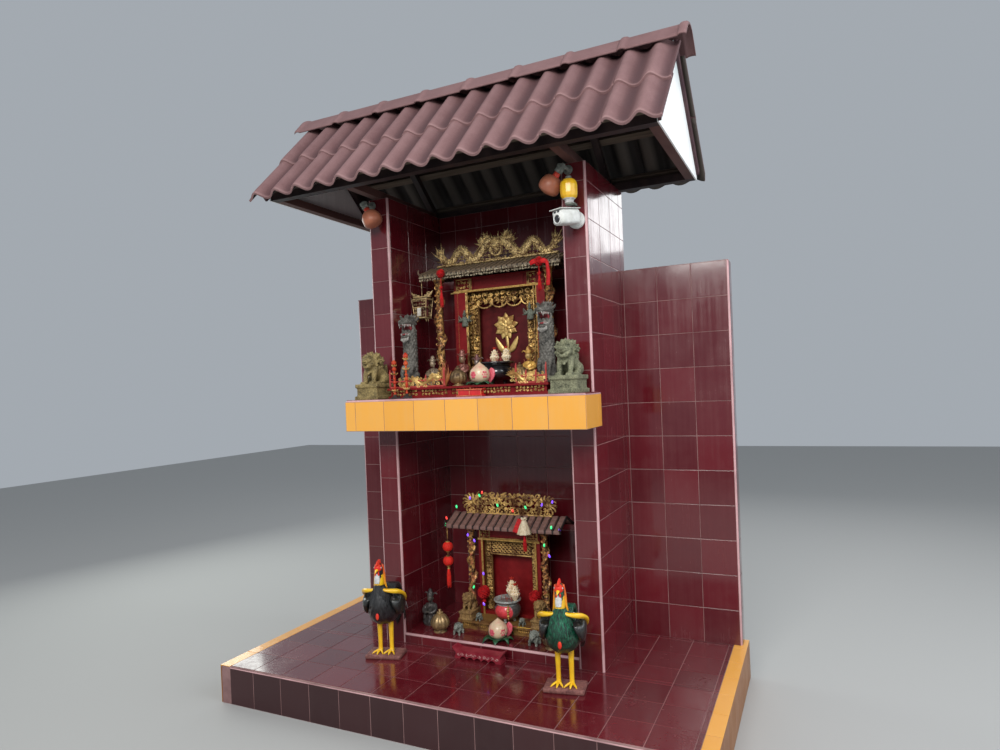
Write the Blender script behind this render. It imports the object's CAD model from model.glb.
import random
from math import asin, atan2, ceil, copysign, cos, exp, floor, hypot, pi, radians, sin, sqrt

import bmesh
import bpy
from mathutils import Euler, Matrix, Vector


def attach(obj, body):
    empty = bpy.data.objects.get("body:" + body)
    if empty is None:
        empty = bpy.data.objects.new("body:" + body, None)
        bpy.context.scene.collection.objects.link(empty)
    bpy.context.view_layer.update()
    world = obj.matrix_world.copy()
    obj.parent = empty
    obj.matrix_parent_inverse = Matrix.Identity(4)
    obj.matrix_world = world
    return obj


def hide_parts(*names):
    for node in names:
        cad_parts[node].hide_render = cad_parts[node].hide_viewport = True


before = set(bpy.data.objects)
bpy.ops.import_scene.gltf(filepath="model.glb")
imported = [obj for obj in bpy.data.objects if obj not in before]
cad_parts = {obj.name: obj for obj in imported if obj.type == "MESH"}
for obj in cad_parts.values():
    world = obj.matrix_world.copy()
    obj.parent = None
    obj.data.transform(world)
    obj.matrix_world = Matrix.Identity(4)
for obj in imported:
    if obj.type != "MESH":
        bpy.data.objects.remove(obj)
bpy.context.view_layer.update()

# Camera, daylight and floor
# The photograph was taken from the right, a little above the altar shelf, tilted
# and rolled a degree or two, under the soft light of an open-sided car port.
CAMERA_AT = Vector((1.7991, -3.4308, 1.7523))
CAMERA_YAW, CAMERA_PITCH, CAMERA_ROLL = -0.4383, -0.0087, 0.0402
FOCAL_PX, CENTRE_PX = 662.4866, (510.5, 390.92)
PHOTO_PX = (1000, 750)

camera_data = bpy.data.cameras.new("camera")
camera_data.sensor_width = 36.0
camera_data.lens = 36.0 * FOCAL_PX / PHOTO_PX[0]
camera_data.shift_x = (PHOTO_PX[0] / 2 - CENTRE_PX[0]) / PHOTO_PX[0]
camera_data.shift_y = (CENTRE_PX[1] - PHOTO_PX[1] / 2) / PHOTO_PX[0]
camera = bpy.data.objects.new("camera", camera_data)
camera.rotation_mode = "QUATERNION"
camera.location = CAMERA_AT
ahead = Vector((
    sin(CAMERA_YAW) * cos(CAMERA_PITCH),
    cos(CAMERA_YAW) * cos(CAMERA_PITCH),
    sin(CAMERA_PITCH),
))
level_right = Vector((cos(CAMERA_YAW), -sin(CAMERA_YAW), 0))
level_down = ahead.cross(level_right)
right = cos(CAMERA_ROLL) * level_right + sin(CAMERA_ROLL) * level_down
down = cos(CAMERA_ROLL) * level_down - sin(CAMERA_ROLL) * level_right
camera.rotation_quaternion = Matrix((right, -down, -ahead)).transposed().to_quaternion()
bpy.context.scene.collection.objects.link(camera)
bpy.context.scene.camera = camera
bpy.context.scene.view_settings.view_transform = "Standard"

sky = bpy.data.worlds.new("sky")
sky.use_nodes = True
sky.node_tree.nodes["Background"].inputs["Color"].default_value = (0.80, 0.87, 0.95, 1)
sky.node_tree.nodes["Background"].inputs["Strength"].default_value = 0.46
bpy.context.scene.world = sky


def soft_light(name, at, aim, size, watts, colour):
    """A rectangular area light at a place, aimed at a point."""
    lamp = bpy.data.lights.new(name, "AREA")
    lamp.shape = "RECTANGLE"
    lamp.size, lamp.size_y = size
    lamp.energy = watts
    lamp.color = colour
    placed = bpy.data.objects.new(name, lamp)
    placed.location = at
    placed.rotation_mode = "QUATERNION"
    placed.rotation_quaternion = (Vector(aim) - Vector(at)).to_track_quat("-Z", "Y")
    bpy.context.scene.collection.objects.link(placed)


soft_light("open_front", (1.2, -5.2, 4.6), (0, 0, 1.5), (3.4, 2.6), 300, (1.0, 0.98, 0.95))
soft_light("open_right", (5.0, -0.4, 4.2), (0.6, 0, 2.2), (4.6, 3.8), 175, (0.94, 0.97, 1.0))
soft_light("open_left", (-4.6, 1.2, 2.8), (-0.6, 0, 1.6), (2.6, 2.6), 70, (0.95, 1.0, 0.94))
soft_light("open_back", (0.5, 5.5, 4.6), (0, 0.4, 2.6), (5.0, 2.2), 85, (1.0, 1.0, 1.0))

floor_mesh = bmesh.new()
bmesh.ops.create_grid(floor_mesh, x_segments=1, y_segments=1, size=14)
floor_data = bpy.data.meshes.new("studio_floor")
floor_mesh.to_mesh(floor_data)
floor_mesh.free()
studio_floor = bpy.data.objects.new("studio_floor", floor_data)
bpy.context.scene.collection.objects.link(studio_floor)
pale_floor = bpy.data.materials.new("pale_floor")
pale_floor.use_nodes = True
pale_floor.node_tree.nodes["Principled BSDF"].inputs["Base Color"].default_value = (0.42, 0.42,
    0.41, 1)
pale_floor.node_tree.nodes["Principled BSDF"].inputs["Roughness"].default_value = 0.85
floor_data.materials.append(pale_floor)

# Maroon wall and floor tiles
# Glazed 200 mm ceramic squares, bedded in mortar with pale cement pointing. The glaze
# is deep maroon and glossy under a thin film of dust, and each tile leans a hair its
# own way.
HOUSE = Vector((0.020, -0.0920, 0.215))
NICHE_HALF, SIDE_WALL, WALL_DEPTH, WALL_TOP = 0.557, 0.140, 0.700, 2.700
BACK_FACE, WING_FACE, WING_TOP = 0.610, 0.600, 2.200
SHELF_LOW, SHELF_TOP = 1.305, 1.485
TILE, JOINT, BEAD = 0.200, 0.003, 0.010
NICHE_JOINT, DEPTH_JOINT, PIER_FRONT, SLIVER = -0.438, 0.210, 0.120, 0.012
PLINTH_TOP = 0.058


def shift(by):
    """A move, for placing a shape."""
    return Matrix.Translation(by)


def spin(axis, angle):
    """A turn about an axis, for placing a shape."""
    return Matrix.Rotation(angle, 4, axis)


def sized(by):
    """A stretch along the three axes, for placing a shape."""
    return Matrix.Diagonal((*by, 1))


class Socket:
    """One value in a material: arithmetic on it adds the Math nodes."""

    def __init__(self, tree, out):
        self.tree = tree
        self.out = out

    def node(self, kind, pick=0, settings=(), **inputs):
        made = self.tree.nodes.new("ShaderNode" + kind)
        for key, value in dict(settings).items():
            setattr(made, key, value)
        for key, value in inputs.items():
            key = int(key[1:]) if key[1:].isdigit() else key.replace("_", " ")
            if isinstance(value, Socket):
                self.tree.links.new(value.out, made.inputs[key])
            else:
                made.inputs[key].default_value = value
        return Socket(self.tree, made.outputs[pick])

    def maths(self, operation, a, b=0.0, clamp=False):
        return self.node("Math", settings={"operation": operation, "use_clamp": clamp}, i0=a, i1=b)

    def __add__(self, other):
        return self.maths("ADD", self, other)

    def __sub__(self, other):
        return self.maths("SUBTRACT", self, other)

    def __rsub__(self, other):
        return self.maths("SUBTRACT", other, self)

    def __mul__(self, other):
        return self.maths("MULTIPLY", self, other)

    __radd__ = __add__
    __rmul__ = __mul__

    def over(self, low, high):
        """0 below low, 1 above high, straight between."""
        return self.maths("MULTIPLY", self - low, 1 / (high - low), clamp=True)

    def blend(self, first, second):
        """First colour where this value is 0, second where it is 1."""
        ends = [end if isinstance(end, Socket) else (*end, 1) for end in (first, second)]
        return self.node("Mix", 2, {"data_type": "RGBA"}, Factor=self, i6=ends[0], i7=ends[1])


class Finish(Socket):
    """A new material with its main shader."""

    def __init__(self, name, **constants):
        self.made = bpy.data.materials.new(name)
        self.made.use_nodes = True
        self.tree = self.made.node_tree
        self.shader = self.tree.nodes["Principled BSDF"]
        self.put(**constants)

    def put(self, **inputs):
        for key, value in inputs.items():
            key = key.replace("_", " ")
            if isinstance(value, Socket):
                self.tree.links.new(value.out, self.shader.inputs[key])
            else:
                self.shader.inputs[key].default_value = value

    def mottle(self, patch, first, second, gain, rough):
        """Two tones over a patchy value, rougher where the second shows."""
        self.put(Base_Color=patch.blend(first, second),
            Roughness=patch * gain + rough if gain else rough)

    def place(self):
        """Object coordinates."""
        return self.node("TexCoord", 3)

    def noise(self, scale, detail=3.0, rough=0.55, stretch=None):
        at = self.place()
        if stretch:
            at = self.node("Mapping", Vector=at, Scale=stretch)
        return self.node("TexNoise", Vector=at, Scale=scale, Detail=detail, Roughness=rough)

    def bump(self, height, distance, strength=1.0):
        self.put(Normal=self.node("Bump", Height=height, Distance=distance, Strength=strength))

    def trait(self, name):
        return self.node("Attribute", 2, {"attribute_name": name})

    def axes(self):
        split = self.tree.nodes.new("ShaderNodeSeparateXYZ")
        self.tree.links.new(self.place().out, split.inputs[0])
        return [Socket(self.tree, split.outputs[i]) for i in range(3)]


def mottled(name, noise, span, first, second, gain, rough, **constants):
    """A finish in two tones over a noise of a given scale and detail, between two of its levels."""
    made = Finish(name, **constants)
    made.mottle(made.noise(*noise).over(*span), first, second, gain, rough)
    return made


def add_piece(name, mesh, finish, stands_for=()):
    """A finished mesh becomes a piece of the house."""
    mesh = getattr(mesh, "mesh", mesh)
    data = bpy.data.meshes.new(name)
    mesh.to_mesh(data)
    mesh.free()
    data.materials.append(finish.made)
    piece = bpy.data.objects.new(name, data)
    bpy.context.scene.collection.objects.link(piece)
    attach(piece, "root")
    if stands_for:
        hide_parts(*stands_for)
    return piece


def dress(node, finish):
    """A CAD node keeps its shape and takes a finish."""
    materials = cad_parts[node].data.materials
    materials.clear()
    materials.append(finish.made)


def steps(start, end, first, pitch):
    """Joint lines from start to end on a pitch that passes through first."""
    lines = [start]
    k = ceil((start - first) / pitch + 0.06)
    while first + k * pitch < end - SLIVER:
        lines.append(first + k * pitch)
        k += 1
    return lines + [end]


def lay_tiles(mesh, corner, across, up, columns, rows, proud=0.0015, thick=0.007, joint=JOINT):
    """Bevelled tiles on a rectangle: columns and rows are joint lines measured from its corner."""
    across, up = Vector(across), Vector(up)
    out = across.cross(up)
    corner = HOUSE + Vector(corner)
    tone = mesh.faces.layers.float.get("tone") or mesh.faces.layers.float.new("tone")
    fronts = []
    for left, right_edge in zip(columns, columns[1:]):
        for low, high in zip(rows, rows[1:]):
            size = Vector((right_edge - left - joint, high - low - joint, thick))
            lean = Euler([chance.uniform(-0.0016, 0.0016)
                for _ in range(2)] + [0]).to_matrix().to_4x4()
            middle = corner + across * (left + right_edge) / 2 + up * (low + high) / 2
            middle = middle + out * (proud - thick / 2)
            turn = Matrix((across, up, out)).transposed().to_4x4()
            place = shift(middle) @ turn @ lean @ sized(size)
            made = bmesh.ops.create_cube(mesh, size=1, matrix=place)["verts"]
            shade = chance.random()
            for face in {f for v in made for f in v.link_faces}:
                face[tone] = shade
                outwards = (face.calc_center_median() - middle).dot(out)
                if face.normal.dot(out) > 0.9 or outwards > thick * 0.4:
                    fronts += [e for e in face.edges]
    bmesh.ops.bevel(mesh, geom=list(set(fronts)), offset=0.0011, offset_type="OFFSET", segments=2,
        profile=0.5, affect="EDGES", material=-1)


def lay_side(mesh, side, x, depth, rows, **fit):
    """Tiles on an upright face that looks to the left (-1) or to the right (1)."""
    if side > 0:
        lay_tiles(mesh, (x, 0, 0), Y, Z, depth, rows, **fit)
    else:
        lay_tiles(mesh, (x, 0, 0), -Y, Z, [-d for d in reversed(depth)], rows, **fit)


def glaze(name, deep, bright, dust, gloss, coat=0.62):
    """Glazed tile: tone by tile, cloudy dust, faint rain streaks."""
    made = Finish(name, Specular_IOR_Level=0.5, Coat_Roughness=0.08)
    x, y, z = made.axes()
    cloud = made.noise(7.0, 4.0)
    streak = made.noise(1.0, 3.0, stretch=(46.0, 46.0, 1.4))
    film = (cloud * 0.55 + streak * 0.45).over(0.42, 0.78)
    colour = made.trait("tone").blend(deep, bright)
    made.put(Base_Color=(film * 0.35).blend(colour, dust))
    made.put(Roughness=film * 0.25 + gloss, Coat_Weight=coat - film * coat * 0.65)
    made.bump(made.noise(24.0, 2.0), 0.0006, 0.25)
    return made


maroon = glaze("maroon_glaze", (0.086, 0.0050, 0.0095), (0.135, 0.009, 0.0155),
    (0.17, 0.055, 0.056), 0.13)
shaded_maroon = glaze("shaded_maroon_glaze", (0.026, 0.0045, 0.006), (0.042, 0.008, 0.010),
    (0.060, 0.030, 0.030), 0.40, 0.10)
mortar = Finish("mortar", Roughness=0.9)
cement = mortar.noise(9.0, 6.0).over(0.35, 0.75)
x, y, z = mortar.axes()
joints = cement.blend((0.34, 0.20, 0.19), (0.17, 0.085, 0.085))
render_coat = cement.blend((0.30, 0.29, 0.27), (0.20, 0.19, 0.175))
mortar.put(Base_Color=(y.over(HOUSE.y + WALL_DEPTH - 0.002,
    HOUSE.y + WALL_DEPTH - 0.001)).blend(joints, render_coat))
mortar.bump(mortar.noise(60.0, 6.0), 0.002, 0.5)

chance = random.Random(11)
X, Y, Z = Vector((1, 0, 0)), Vector((0, 1, 0)), Vector((0, 0, 1))
storeys = [(0.0, SHELF_LOW), (SHELF_TOP, WALL_TOP)]
niche_columns = steps(-NICHE_HALF, NICHE_HALF, NICHE_JOINT, TILE)
HALF = NICHE_HALF + SIDE_WALL
for side, node in ((-1, "left_side_wall"), (1, "right_side_wall")):
    tiles = bmesh.new()
    for low, high in storeys:
        rows = steps(low, high, 0, TILE)
        # pier front, between its two beads
        lay_tiles(tiles, (side * (NICHE_HALF + HALF) / 2 - PIER_FRONT / 2, 0, 0), X, Z,
            [0, PIER_FRONT], rows)
        # inner face, from the bead to the back wall
        depth = steps(BEAD, BACK_FACE, DEPTH_JOINT, TILE)
        lay_side(tiles, -side, side * NICHE_HALF, depth, rows)
    # outer face, in front of the wing and above it
    for low, high, deep in ((0.0, WING_TOP, WING_FACE), (WING_TOP, WALL_TOP, WALL_DEPTH)):
        rows = steps(low, high, 0, TILE)
        lay_side(tiles, side, side * HALF, steps(BEAD, deep, DEPTH_JOINT, TILE), rows)
    add_piece(node + "_tiles", tiles, maroon)
    dress(node, mortar)

tiles = bmesh.new()
for low, high in storeys:
    lay_tiles(tiles, (0, BACK_FACE, 0), X, Z, niche_columns,
        steps(low, high, 0, TILE))
add_piece("back_wall_tiles", tiles, maroon)
dress("back_wall", mortar)

for side, node, reach in ((-1, "left_wing_wall", 0.575), (1, "right_wing_wall", 0.630)):
    tiles = bmesh.new()
    outer = HALF + reach
    columns = steps(HALF, outer - BEAD, outer - BEAD, TILE)
    rows = steps(0, WING_TOP, 0, TILE)
    lay_tiles(tiles, (0, WING_FACE, 0), X, Z, columns if side > 0
        else [-c for c in reversed(columns)], rows)
    lay_side(tiles, side, side * outer, [WING_FACE + BEAD, WALL_DEPTH], rows)
    # coping tiles along the top
    lay_tiles(tiles, (side * (HALF + outer) / 2, 0, WING_TOP), X, Y,
        steps(-reach / 2, reach / 2, side * (reach / 2), TILE), [WING_FACE, WALL_DEPTH],
        proud=0.003)
    add_piece(node + "_tiles", tiles, maroon)
    dress(node, mortar)

# Platform
# A cast slab on fill, faced with the same maroon tiles on its top and front. The tiles'
# faces are the slab's finished size, so their bedding lies behind them.
PLATFORM_HALF, PLATFORM_FRONT, BORDER = 1.375, 0.640, 0.075
BED, INSET = 0.0015, 0.0006
slab = bmesh.new()
low = Vector((-PLATFORM_HALF + 0.01, HOUSE.y - PLATFORM_FRONT + BED, 0))
high = Vector((PLATFORM_HALF - 0.01, HOUSE.y + WALL_DEPTH, HOUSE.z))
bmesh.ops.create_cube(slab, size=1, matrix=shift((low + high) / 2) @ sized(high - low))
add_piece("platform_slab", slab, mortar, ["platform"])
tiles = bmesh.new()
inner = PLATFORM_HALF - BORDER
columns = [c - HOUSE.x for c in steps(-inner, inner, HOUSE.x - 1.344, TILE)]
front = -PLATFORM_FRONT
lay_tiles(tiles, (0, 0, 0), X, Y, columns, steps(front + BEAD, 0.0, front + BEAD, TILE))
for side in (-1, 1):
    span = sorted((side * HALF, side * inner - HOUSE.x))
    inside = [c for c in columns if span[0] + SLIVER < c < span[1] - SLIVER]
    lay_tiles(tiles, (0, 0, 0), X, Y, [span[0], *inside, span[1]],
        steps(0.0, WING_FACE, front + BEAD, TILE))
front_tiles = bmesh.new()
lay_tiles(front_tiles, (0, front + INSET, 0), X, Z, columns, [-HOUSE.z, -BEAD], proud=0.0)
add_piece("platform_front_tiles", front_tiles, shaded_maroon)
lay_tiles(tiles, (0, 0, PLINTH_TOP), X, Y, niche_columns, steps(BEAD, BACK_FACE, DEPTH_JOINT, TILE))
lay_tiles(tiles, (0, 0, 0), X, Z, niche_columns, [0, PLINTH_TOP - BEAD])
add_piece("platform_tiles", tiles, maroon)
dress("niche_plinth", mortar)

# Altar shelf and platform ends
# Amber glazed tiles: one row stands on the shelf's front, and border tiles cap and face
# the platform's two ends. The shelf is a cast slab, rendered below.
SHELF_HALF, SHELF_FRONT = 0.735, 0.250
amber = glaze("amber_glaze", (0.80, 0.36, 0.045), (0.90, 0.43, 0.065), (0.72, 0.42, 0.16), 0.28)
tiles, end_tiles = bmesh.new(), bmesh.new()
columns = steps(-SHELF_HALF, SHELF_HALF, SHELF_HALF - 7 * TILE, TILE)
lay_tiles(tiles, (0, -SHELF_FRONT, 0), X, Z, columns, [SHELF_LOW, SHELF_TOP - BEAD])
lay_tiles(tiles, (SHELF_HALF, 0, 0), Y, Z, [-SHELF_FRONT, -0.05, 0], [SHELF_LOW, SHELF_TOP - BEAD])
lay_tiles(tiles, (-SHELF_HALF, 0, 0), -Y, Z, [0, 0.05, SHELF_FRONT], [SHELF_LOW, SHELF_TOP - BEAD])
for side in (-1, 1):
    ys = steps(-PLATFORM_FRONT, WALL_DEPTH, -PLATFORM_FRONT, TILE)
    edge = side * PLATFORM_HALF - HOUSE.x
    strip = [edge - BORDER, edge] if side > 0 else [edge, edge + BORDER]
    lay_tiles(tiles, (0, 0, 0), X, Y, strip, ys)
    lay_side(end_tiles, side, edge - side * INSET, ys, [-HOUSE.z, 0.0], proud=0.0)
add_piece("amber_tiles", tiles, amber, ["platform_side_tiles"])
shaded_amber = glaze("shaded_amber_glaze", (0.26, 0.085, 0.016), (0.33, 0.12, 0.022),
    (0.15, 0.08, 0.045), 0.42, 0.10)
add_piece("platform_end_tiles", end_tiles, shaded_amber)
tiles = bmesh.new()
lay_tiles(tiles, (0, 0, SHELF_TOP), X, Y, columns[:1] + [c + 0.001
    for c in columns[1:-1]] + columns[-1:],
    [-SHELF_FRONT + BEAD, -0.05, 0.0])
lay_tiles(tiles, (0, 0, SHELF_TOP), X, Y, niche_columns, steps(0, BACK_FACE, 0.15, TILE))
add_piece("shelf_top_tiles", tiles, maroon)
dress("altar_shelf", mortar)

# Corner beads
# Pale pink extruded plastic, quarter-round, bedded under the tiles' edges on every
# outer corner and along the plinth, the shelf and the platform's front.
bead_plastic = mottled("bead_plastic", (5.0, 5.0), (0.42, 0.75), (0.62, 0.37, 0.38),
    (0.30, 0.16, 0.165), 0.3, 0.3, Specular_IOR_Level=0.45)
dress("edge_trims", bead_plastic)

# Roof frame
# Painted angle and box steel: beams on the side walls' heads, ties across them, rafters
# and a ridge beam, with sawn battens over the rafters for the tiles to hook on.
frame_paint = mottled("frame_paint", (14.0, 5.0), (0.40, 0.80), (0.020, 0.012, 0.013),
    (0.060, 0.034, 0.032), 0.3, 0.5, Specular_IOR_Level=0.35)
for node in ("eave_beams", "roof_rafters", "ridge_beam"):
    dress(node, frame_paint)
tie_paint = Finish("tie_paint", Specular_IOR_Level=0.35)
scuff = tie_paint.noise(11.0, 6.0, stretch=(1, 0.25, 1)).over(0.35, 0.80)
tie_paint.mottle(scuff, (0.130, 0.058, 0.048), (0.070, 0.032, 0.030), 0.2, 0.6)
tie_paint.bump(tie_paint.noise(70.0, 3.0), 0.001, 0.3)
dress("roof_ties", tie_paint)
sawn = Finish("sawn_batten", Specular_IOR_Level=0.25)
grain = sawn.noise(1.0, 6.0, stretch=(3, 90, 90)).over(0.3, 0.7)
sawn.put(Base_Color=grain.blend((0.085, 0.062, 0.048), (0.165, 0.125, 0.095)), Roughness=0.85)
sawn.bump(grain, 0.0008, 0.6)
dress("tile_battens", sawn)

# Roof tiles
# Double-roll concrete tiles in a matt pink-brown paint, two rolls to a tile. Each laps
# its neighbour's edge on the flank of a roll, and the upper course laps the lower one.
ROOF = HOUSE + Vector((-0.013, 0, WALL_TOP))
FRONT_EAVE, REAR_EAVE, APEX_Y = 0.430, 0.780, 0.130
FRONT_DROP, REAR_RISE, APEX_H = 0.040, 0.002, 0.570
FRONT_ANGLE = atan2(APEX_H + FRONT_DROP, FRONT_EAVE + APEX_Y)
REAR_ANGLE = atan2(APEX_H - REAR_RISE, REAR_EAVE - APEX_Y)
ROLL, ROLL_H, TILE_T, TILE_LONG, LAP, SEAT = 0.150, 0.042, 0.012, 0.420, 0.070, 0.0003
ROLLS = 16
TILT = asin((TILE_T + SEAT) / (TILE_LONG - LAP))
TILES_W = (ROLLS + 0.125) * ROLL


def roll_height(x):
    """Height of a tile's surface above its pan, x from the course's left edge."""
    return ROLL_H * (0.5 - 0.5 * cos(2 * pi * x / ROLL)) ** 1.15


def roof_tile(mesh, start, end, tail, slope):
    """One tile from start to end across the course, its tail at that distance up the slope."""
    crest = mesh.verts.layers.float.get("crest") or mesh.verts.layers.float.new("crest")
    lip = mesh.verts.layers.float.get("lip") or mesh.verts.layers.float.new("lip")
    tone = mesh.verts.layers.float.get("tone") or mesh.verts.layers.float.new("tone")
    width = end - start
    shell = bmesh.ops.create_grid(mesh, x_segments=max(4, round(width / 0.0125)), y_segments=9,
        size=0.5)["verts"]
    shade = chance.random()
    settle = chance.uniform(-0.0004, 0.0)
    for v in shell:
        across, along = v.co.x + 0.5, v.co.y + 0.5
        x = start + 0.0007 + across * (width - 0.0014)
        notch = 0.006 if across < 0.03 and along < 0.06 else 0.0
        ride = 0.0016 * max(0.0, 1 - across * width / 0.030)
        high = roll_height(x)
        v[crest] = high / ROLL_H
        v[lip] = along
        v[tone] = shade
        droop = -0.0016 * max(0.0, 1 - along * TILE_LONG / 0.010) ** 2
        v.co = Vector((x - TILES_W / 2 + notch, along * TILE_LONG,
            high + TILE_T - 0.0006 + ride + droop + settle))
    lay = slope @ shift((0, tail + TILE_LONG * cos(TILT), SEAT))
    lay = lay @ spin("X", -TILT) @ shift((0, -TILE_LONG, 0))
    bmesh.ops.transform(mesh, matrix=lay, verts=shell)
    bmesh.ops.solidify(mesh, geom=list({f for v in shell for f in v.link_faces}),
        thickness=TILE_T - 0.0006)


def clay(name, fresh, worn, dirt):
    """Concrete tile paint: paler on crests and tails, sooty in the pans, dull below."""
    made = Finish(name, Specular_IOR_Level=0.3)
    crest, lip, tone = made.trait("crest"), made.trait("lip"), made.trait("tone")
    blotch = made.noise(9.0, 6.0)
    fine = made.noise(95.0, 4.0)
    edge = 1 - lip.over(0.01, 0.05)
    wear = (crest * 0.30 + blotch * 0.45 + fine * 0.30 + edge * 0.45 + tone * 0.12).over(0.34, 1.10)
    soot = (1 - crest.over(0.0, 0.45)) * (blotch * 0.9 + 0.25)
    colour = wear.blend(fresh, worn)
    under = made.trait("under")
    colour = (soot * 0.75 * (1 - edge)).blend(colour, dirt)
    below = (crest.over(0.05, 0.5)).blend((0.085, 0.072, 0.062), (0.020, 0.016, 0.015))
    made.put(Base_Color=under.blend(colour, below), Roughness=fine * 0.2 + 0.62)
    made.bump(fine * 0.6 + made.noise(320.0, 2.0) * 0.4, 0.0015, 0.55)
    return made


clay_paint = clay("roof_paint", (0.130, 0.062, 0.064), (0.290, 0.172, 0.172), (0.040, 0.022, 0.028))
SLOPES = {
    "front_roof_tiles": shift(ROOF + Vector((0, -FRONT_EAVE, -FRONT_DROP))) @ spin("X",
    FRONT_ANGLE),
    "rear_roof_tiles": shift(ROOF + Vector((0, REAR_EAVE, REAR_RISE)))
    @ spin("Z", pi) @ spin("X", REAR_ANGLE),
}
for node, slope in SLOPES.items():
    tiles = bmesh.new()
    for course in range(2):
        edges = [0.0] + [(2 * k + 0.30) * ROLL for k in range(1, ROLLS // 2)] + [TILES_W]
        for start, end in zip(edges, edges[1:]):
            roof_tile(tiles, start, end, course * (TILE_LONG - LAP), slope)
    under = tiles.faces.layers.float.new("under")
    tiles.normal_update()
    upward = slope.to_3x3() @ Z
    for face in tiles.faces:
        face[under] = 1.0 if face.normal.dot(upward) < -0.25 else 0.0
        face.smooth = abs(face.normal.dot(upward)) > 0.5
    add_piece(node[:-1].replace("tile", "tile_course"), tiles, clay_paint, [node])

# Ridge caps
# Half-round caps of the same make, each with a swollen collar that covers the joint to
# the next, bedded along the apex.
CAP_R, CAP_T, CAP_DROP, CAP_LEG, CAPS, COLLAR = 0.107, 0.014, 0.049, 0.095, 8, 0.045
caps = bmesh.new()
crest = caps.verts.layers.float.new("crest")
lip = caps.verts.layers.float.new("lip")
tone = caps.verts.layers.float.new("tone")
length = TILES_W + 0.070
cap_pitch = (length - COLLAR) / CAPS
arc = FRONT_ANGLE + REAR_ANGLE
girth = CAP_R * arc + 2 * CAP_LEG
for k in range(CAPS + 1):
    start = k * cap_pitch
    long = cap_pitch + 0.004 if k < CAPS else COLLAR
    shell = bmesh.ops.create_grid(caps, x_segments=26 if k < CAPS else 8, y_segments=36,
        size=0.5)["verts"]
    shade = chance.random()
    for v in shell:
        along = (v.co.x + 0.5) * long
        walk = (v.co.y + 0.5) * girth
        swell = 0.009 * max(0.0, sin(pi * min(1.0,
            along / COLLAR))) ** 0.5 if along < COLLAR else 0.0
        radius = CAP_R + swell - 0.0005
        if walk < CAP_LEG:
            turn, leg = pi / 2 + FRONT_ANGLE, CAP_LEG - walk
            flat = Vector((-cos(FRONT_ANGLE), -sin(FRONT_ANGLE))) * leg
        elif walk > girth - CAP_LEG:
            turn, leg = pi / 2 - REAR_ANGLE, walk - girth + CAP_LEG
            flat = Vector((cos(REAR_ANGLE), -sin(REAR_ANGLE))) * leg
        else:
            turn, flat = pi / 2 + FRONT_ANGLE - (walk - CAP_LEG) / CAP_R, Vector((0, 0))
        v[crest] = 0.35 + 0.65 * sin(max(0.0, turn - 0.4)) + (0.3 if swell > 0.004 else 0)
        v[lip] = 1.0 - (1.0 if along < COLLAR and swell < 0.005 else 0.0)
        v[tone] = shade
        v.co = Vector((start - length / 2 + 0.010 + along, cos(turn) * radius + flat.x,
            sin(turn) * radius + flat.y))
        v.co += ROOF + Vector((0, APEX_Y, APEX_H - CAP_DROP))
    bmesh.ops.solidify(caps, geom=list({f for v in shell for f in v.link_faces}),
        thickness=CAP_T - 0.002)
bmesh.ops.recalc_face_normals(caps, faces=list(caps.faces))
caps.faces.layers.float.new("under")
for face in caps.faces:
    face.smooth = True
add_piece("ridge_cap_row", caps, clay_paint, ["ridge_caps"])

# Gable panels and verge strips
# White painted fibre-cement sheet closes each gable, a little inside the tiles' ends,
# with a dark strip folded over its two sloping edges.
sheet_paint = Finish("gable_paint", Roughness=0.45, Specular_IOR_Level=0.4)
x, y, z = sheet_paint.axes()
run = sheet_paint.noise(1.0, 4.0, stretch=(9, 34, 1.2)).over(0.45, 0.80)
high = z.over(ROOF.z + 0.34, ROOF.z + 0.52)
sheet_colour = (run * 0.4).blend((0.93, 0.94, 0.93), (0.60, 0.63, 0.63))
sheet_paint.put(Base_Color=(high * 0.7).blend(sheet_colour, (0.34, 0.47, 0.48)))
sheet_paint.bump(run, 0.0008, 0.3)
dress("left_gable_panel", sheet_paint)
dress("right_gable_panel", sheet_paint)
verge_paint = mottled("verge_paint", (12.0, 5.0), (0.4, 0.8), (0.060, 0.026, 0.034),
    (0.125, 0.070, 0.074), 0.3, 0.45, Specular_IOR_Level=0.35)
dress("verge_trims", verge_paint)

# Upper altar: red lacquer
# The table, cabinet and screen are timber boards under a deep red lacquer, rubbed and
# dusty, with gold lines painted on their edges and mouldings.
MM = Matrix.Scale(0.001, 4)
SHELF = shift(HOUSE + Vector((0, 0, SHELF_TOP))) @ MM
PLINTH = shift(HOUSE + Vector((0, 0, PLINTH_TOP))) @ MM


class Work:
    """A mesh under construction, and the place that its sizes are measured from."""

    def __init__(self, place):
        self.place, self.mesh = place, bmesh.new()


def spline(points, u):
    """The place on a smooth curve through tuples of equal length, u from 0 to 1."""
    at = min(max(u, 0.0), 1.0) * (len(points) - 1)
    i = min(int(at), len(points) - 2)
    t = at - i
    four = (points[min(max(k, 0), len(points) - 1)] for k in range(i - 1, i + 3))
    return [b + 0.5 * t * (c - a + t * (2 * a - 5 * b + 4 * c - d + t * (3 * b - a - 3 * c + d)))
        for a, b, c, d in zip(*four)]


def merge(work, part):
    """Adds a small mesh to a large one, in which bmesh operators would be slow."""
    data = bpy.data.meshes.new("part")
    part.to_mesh(data)
    part.free()
    work.mesh.from_mesh(data)
    bpy.data.meshes.remove(data)


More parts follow.
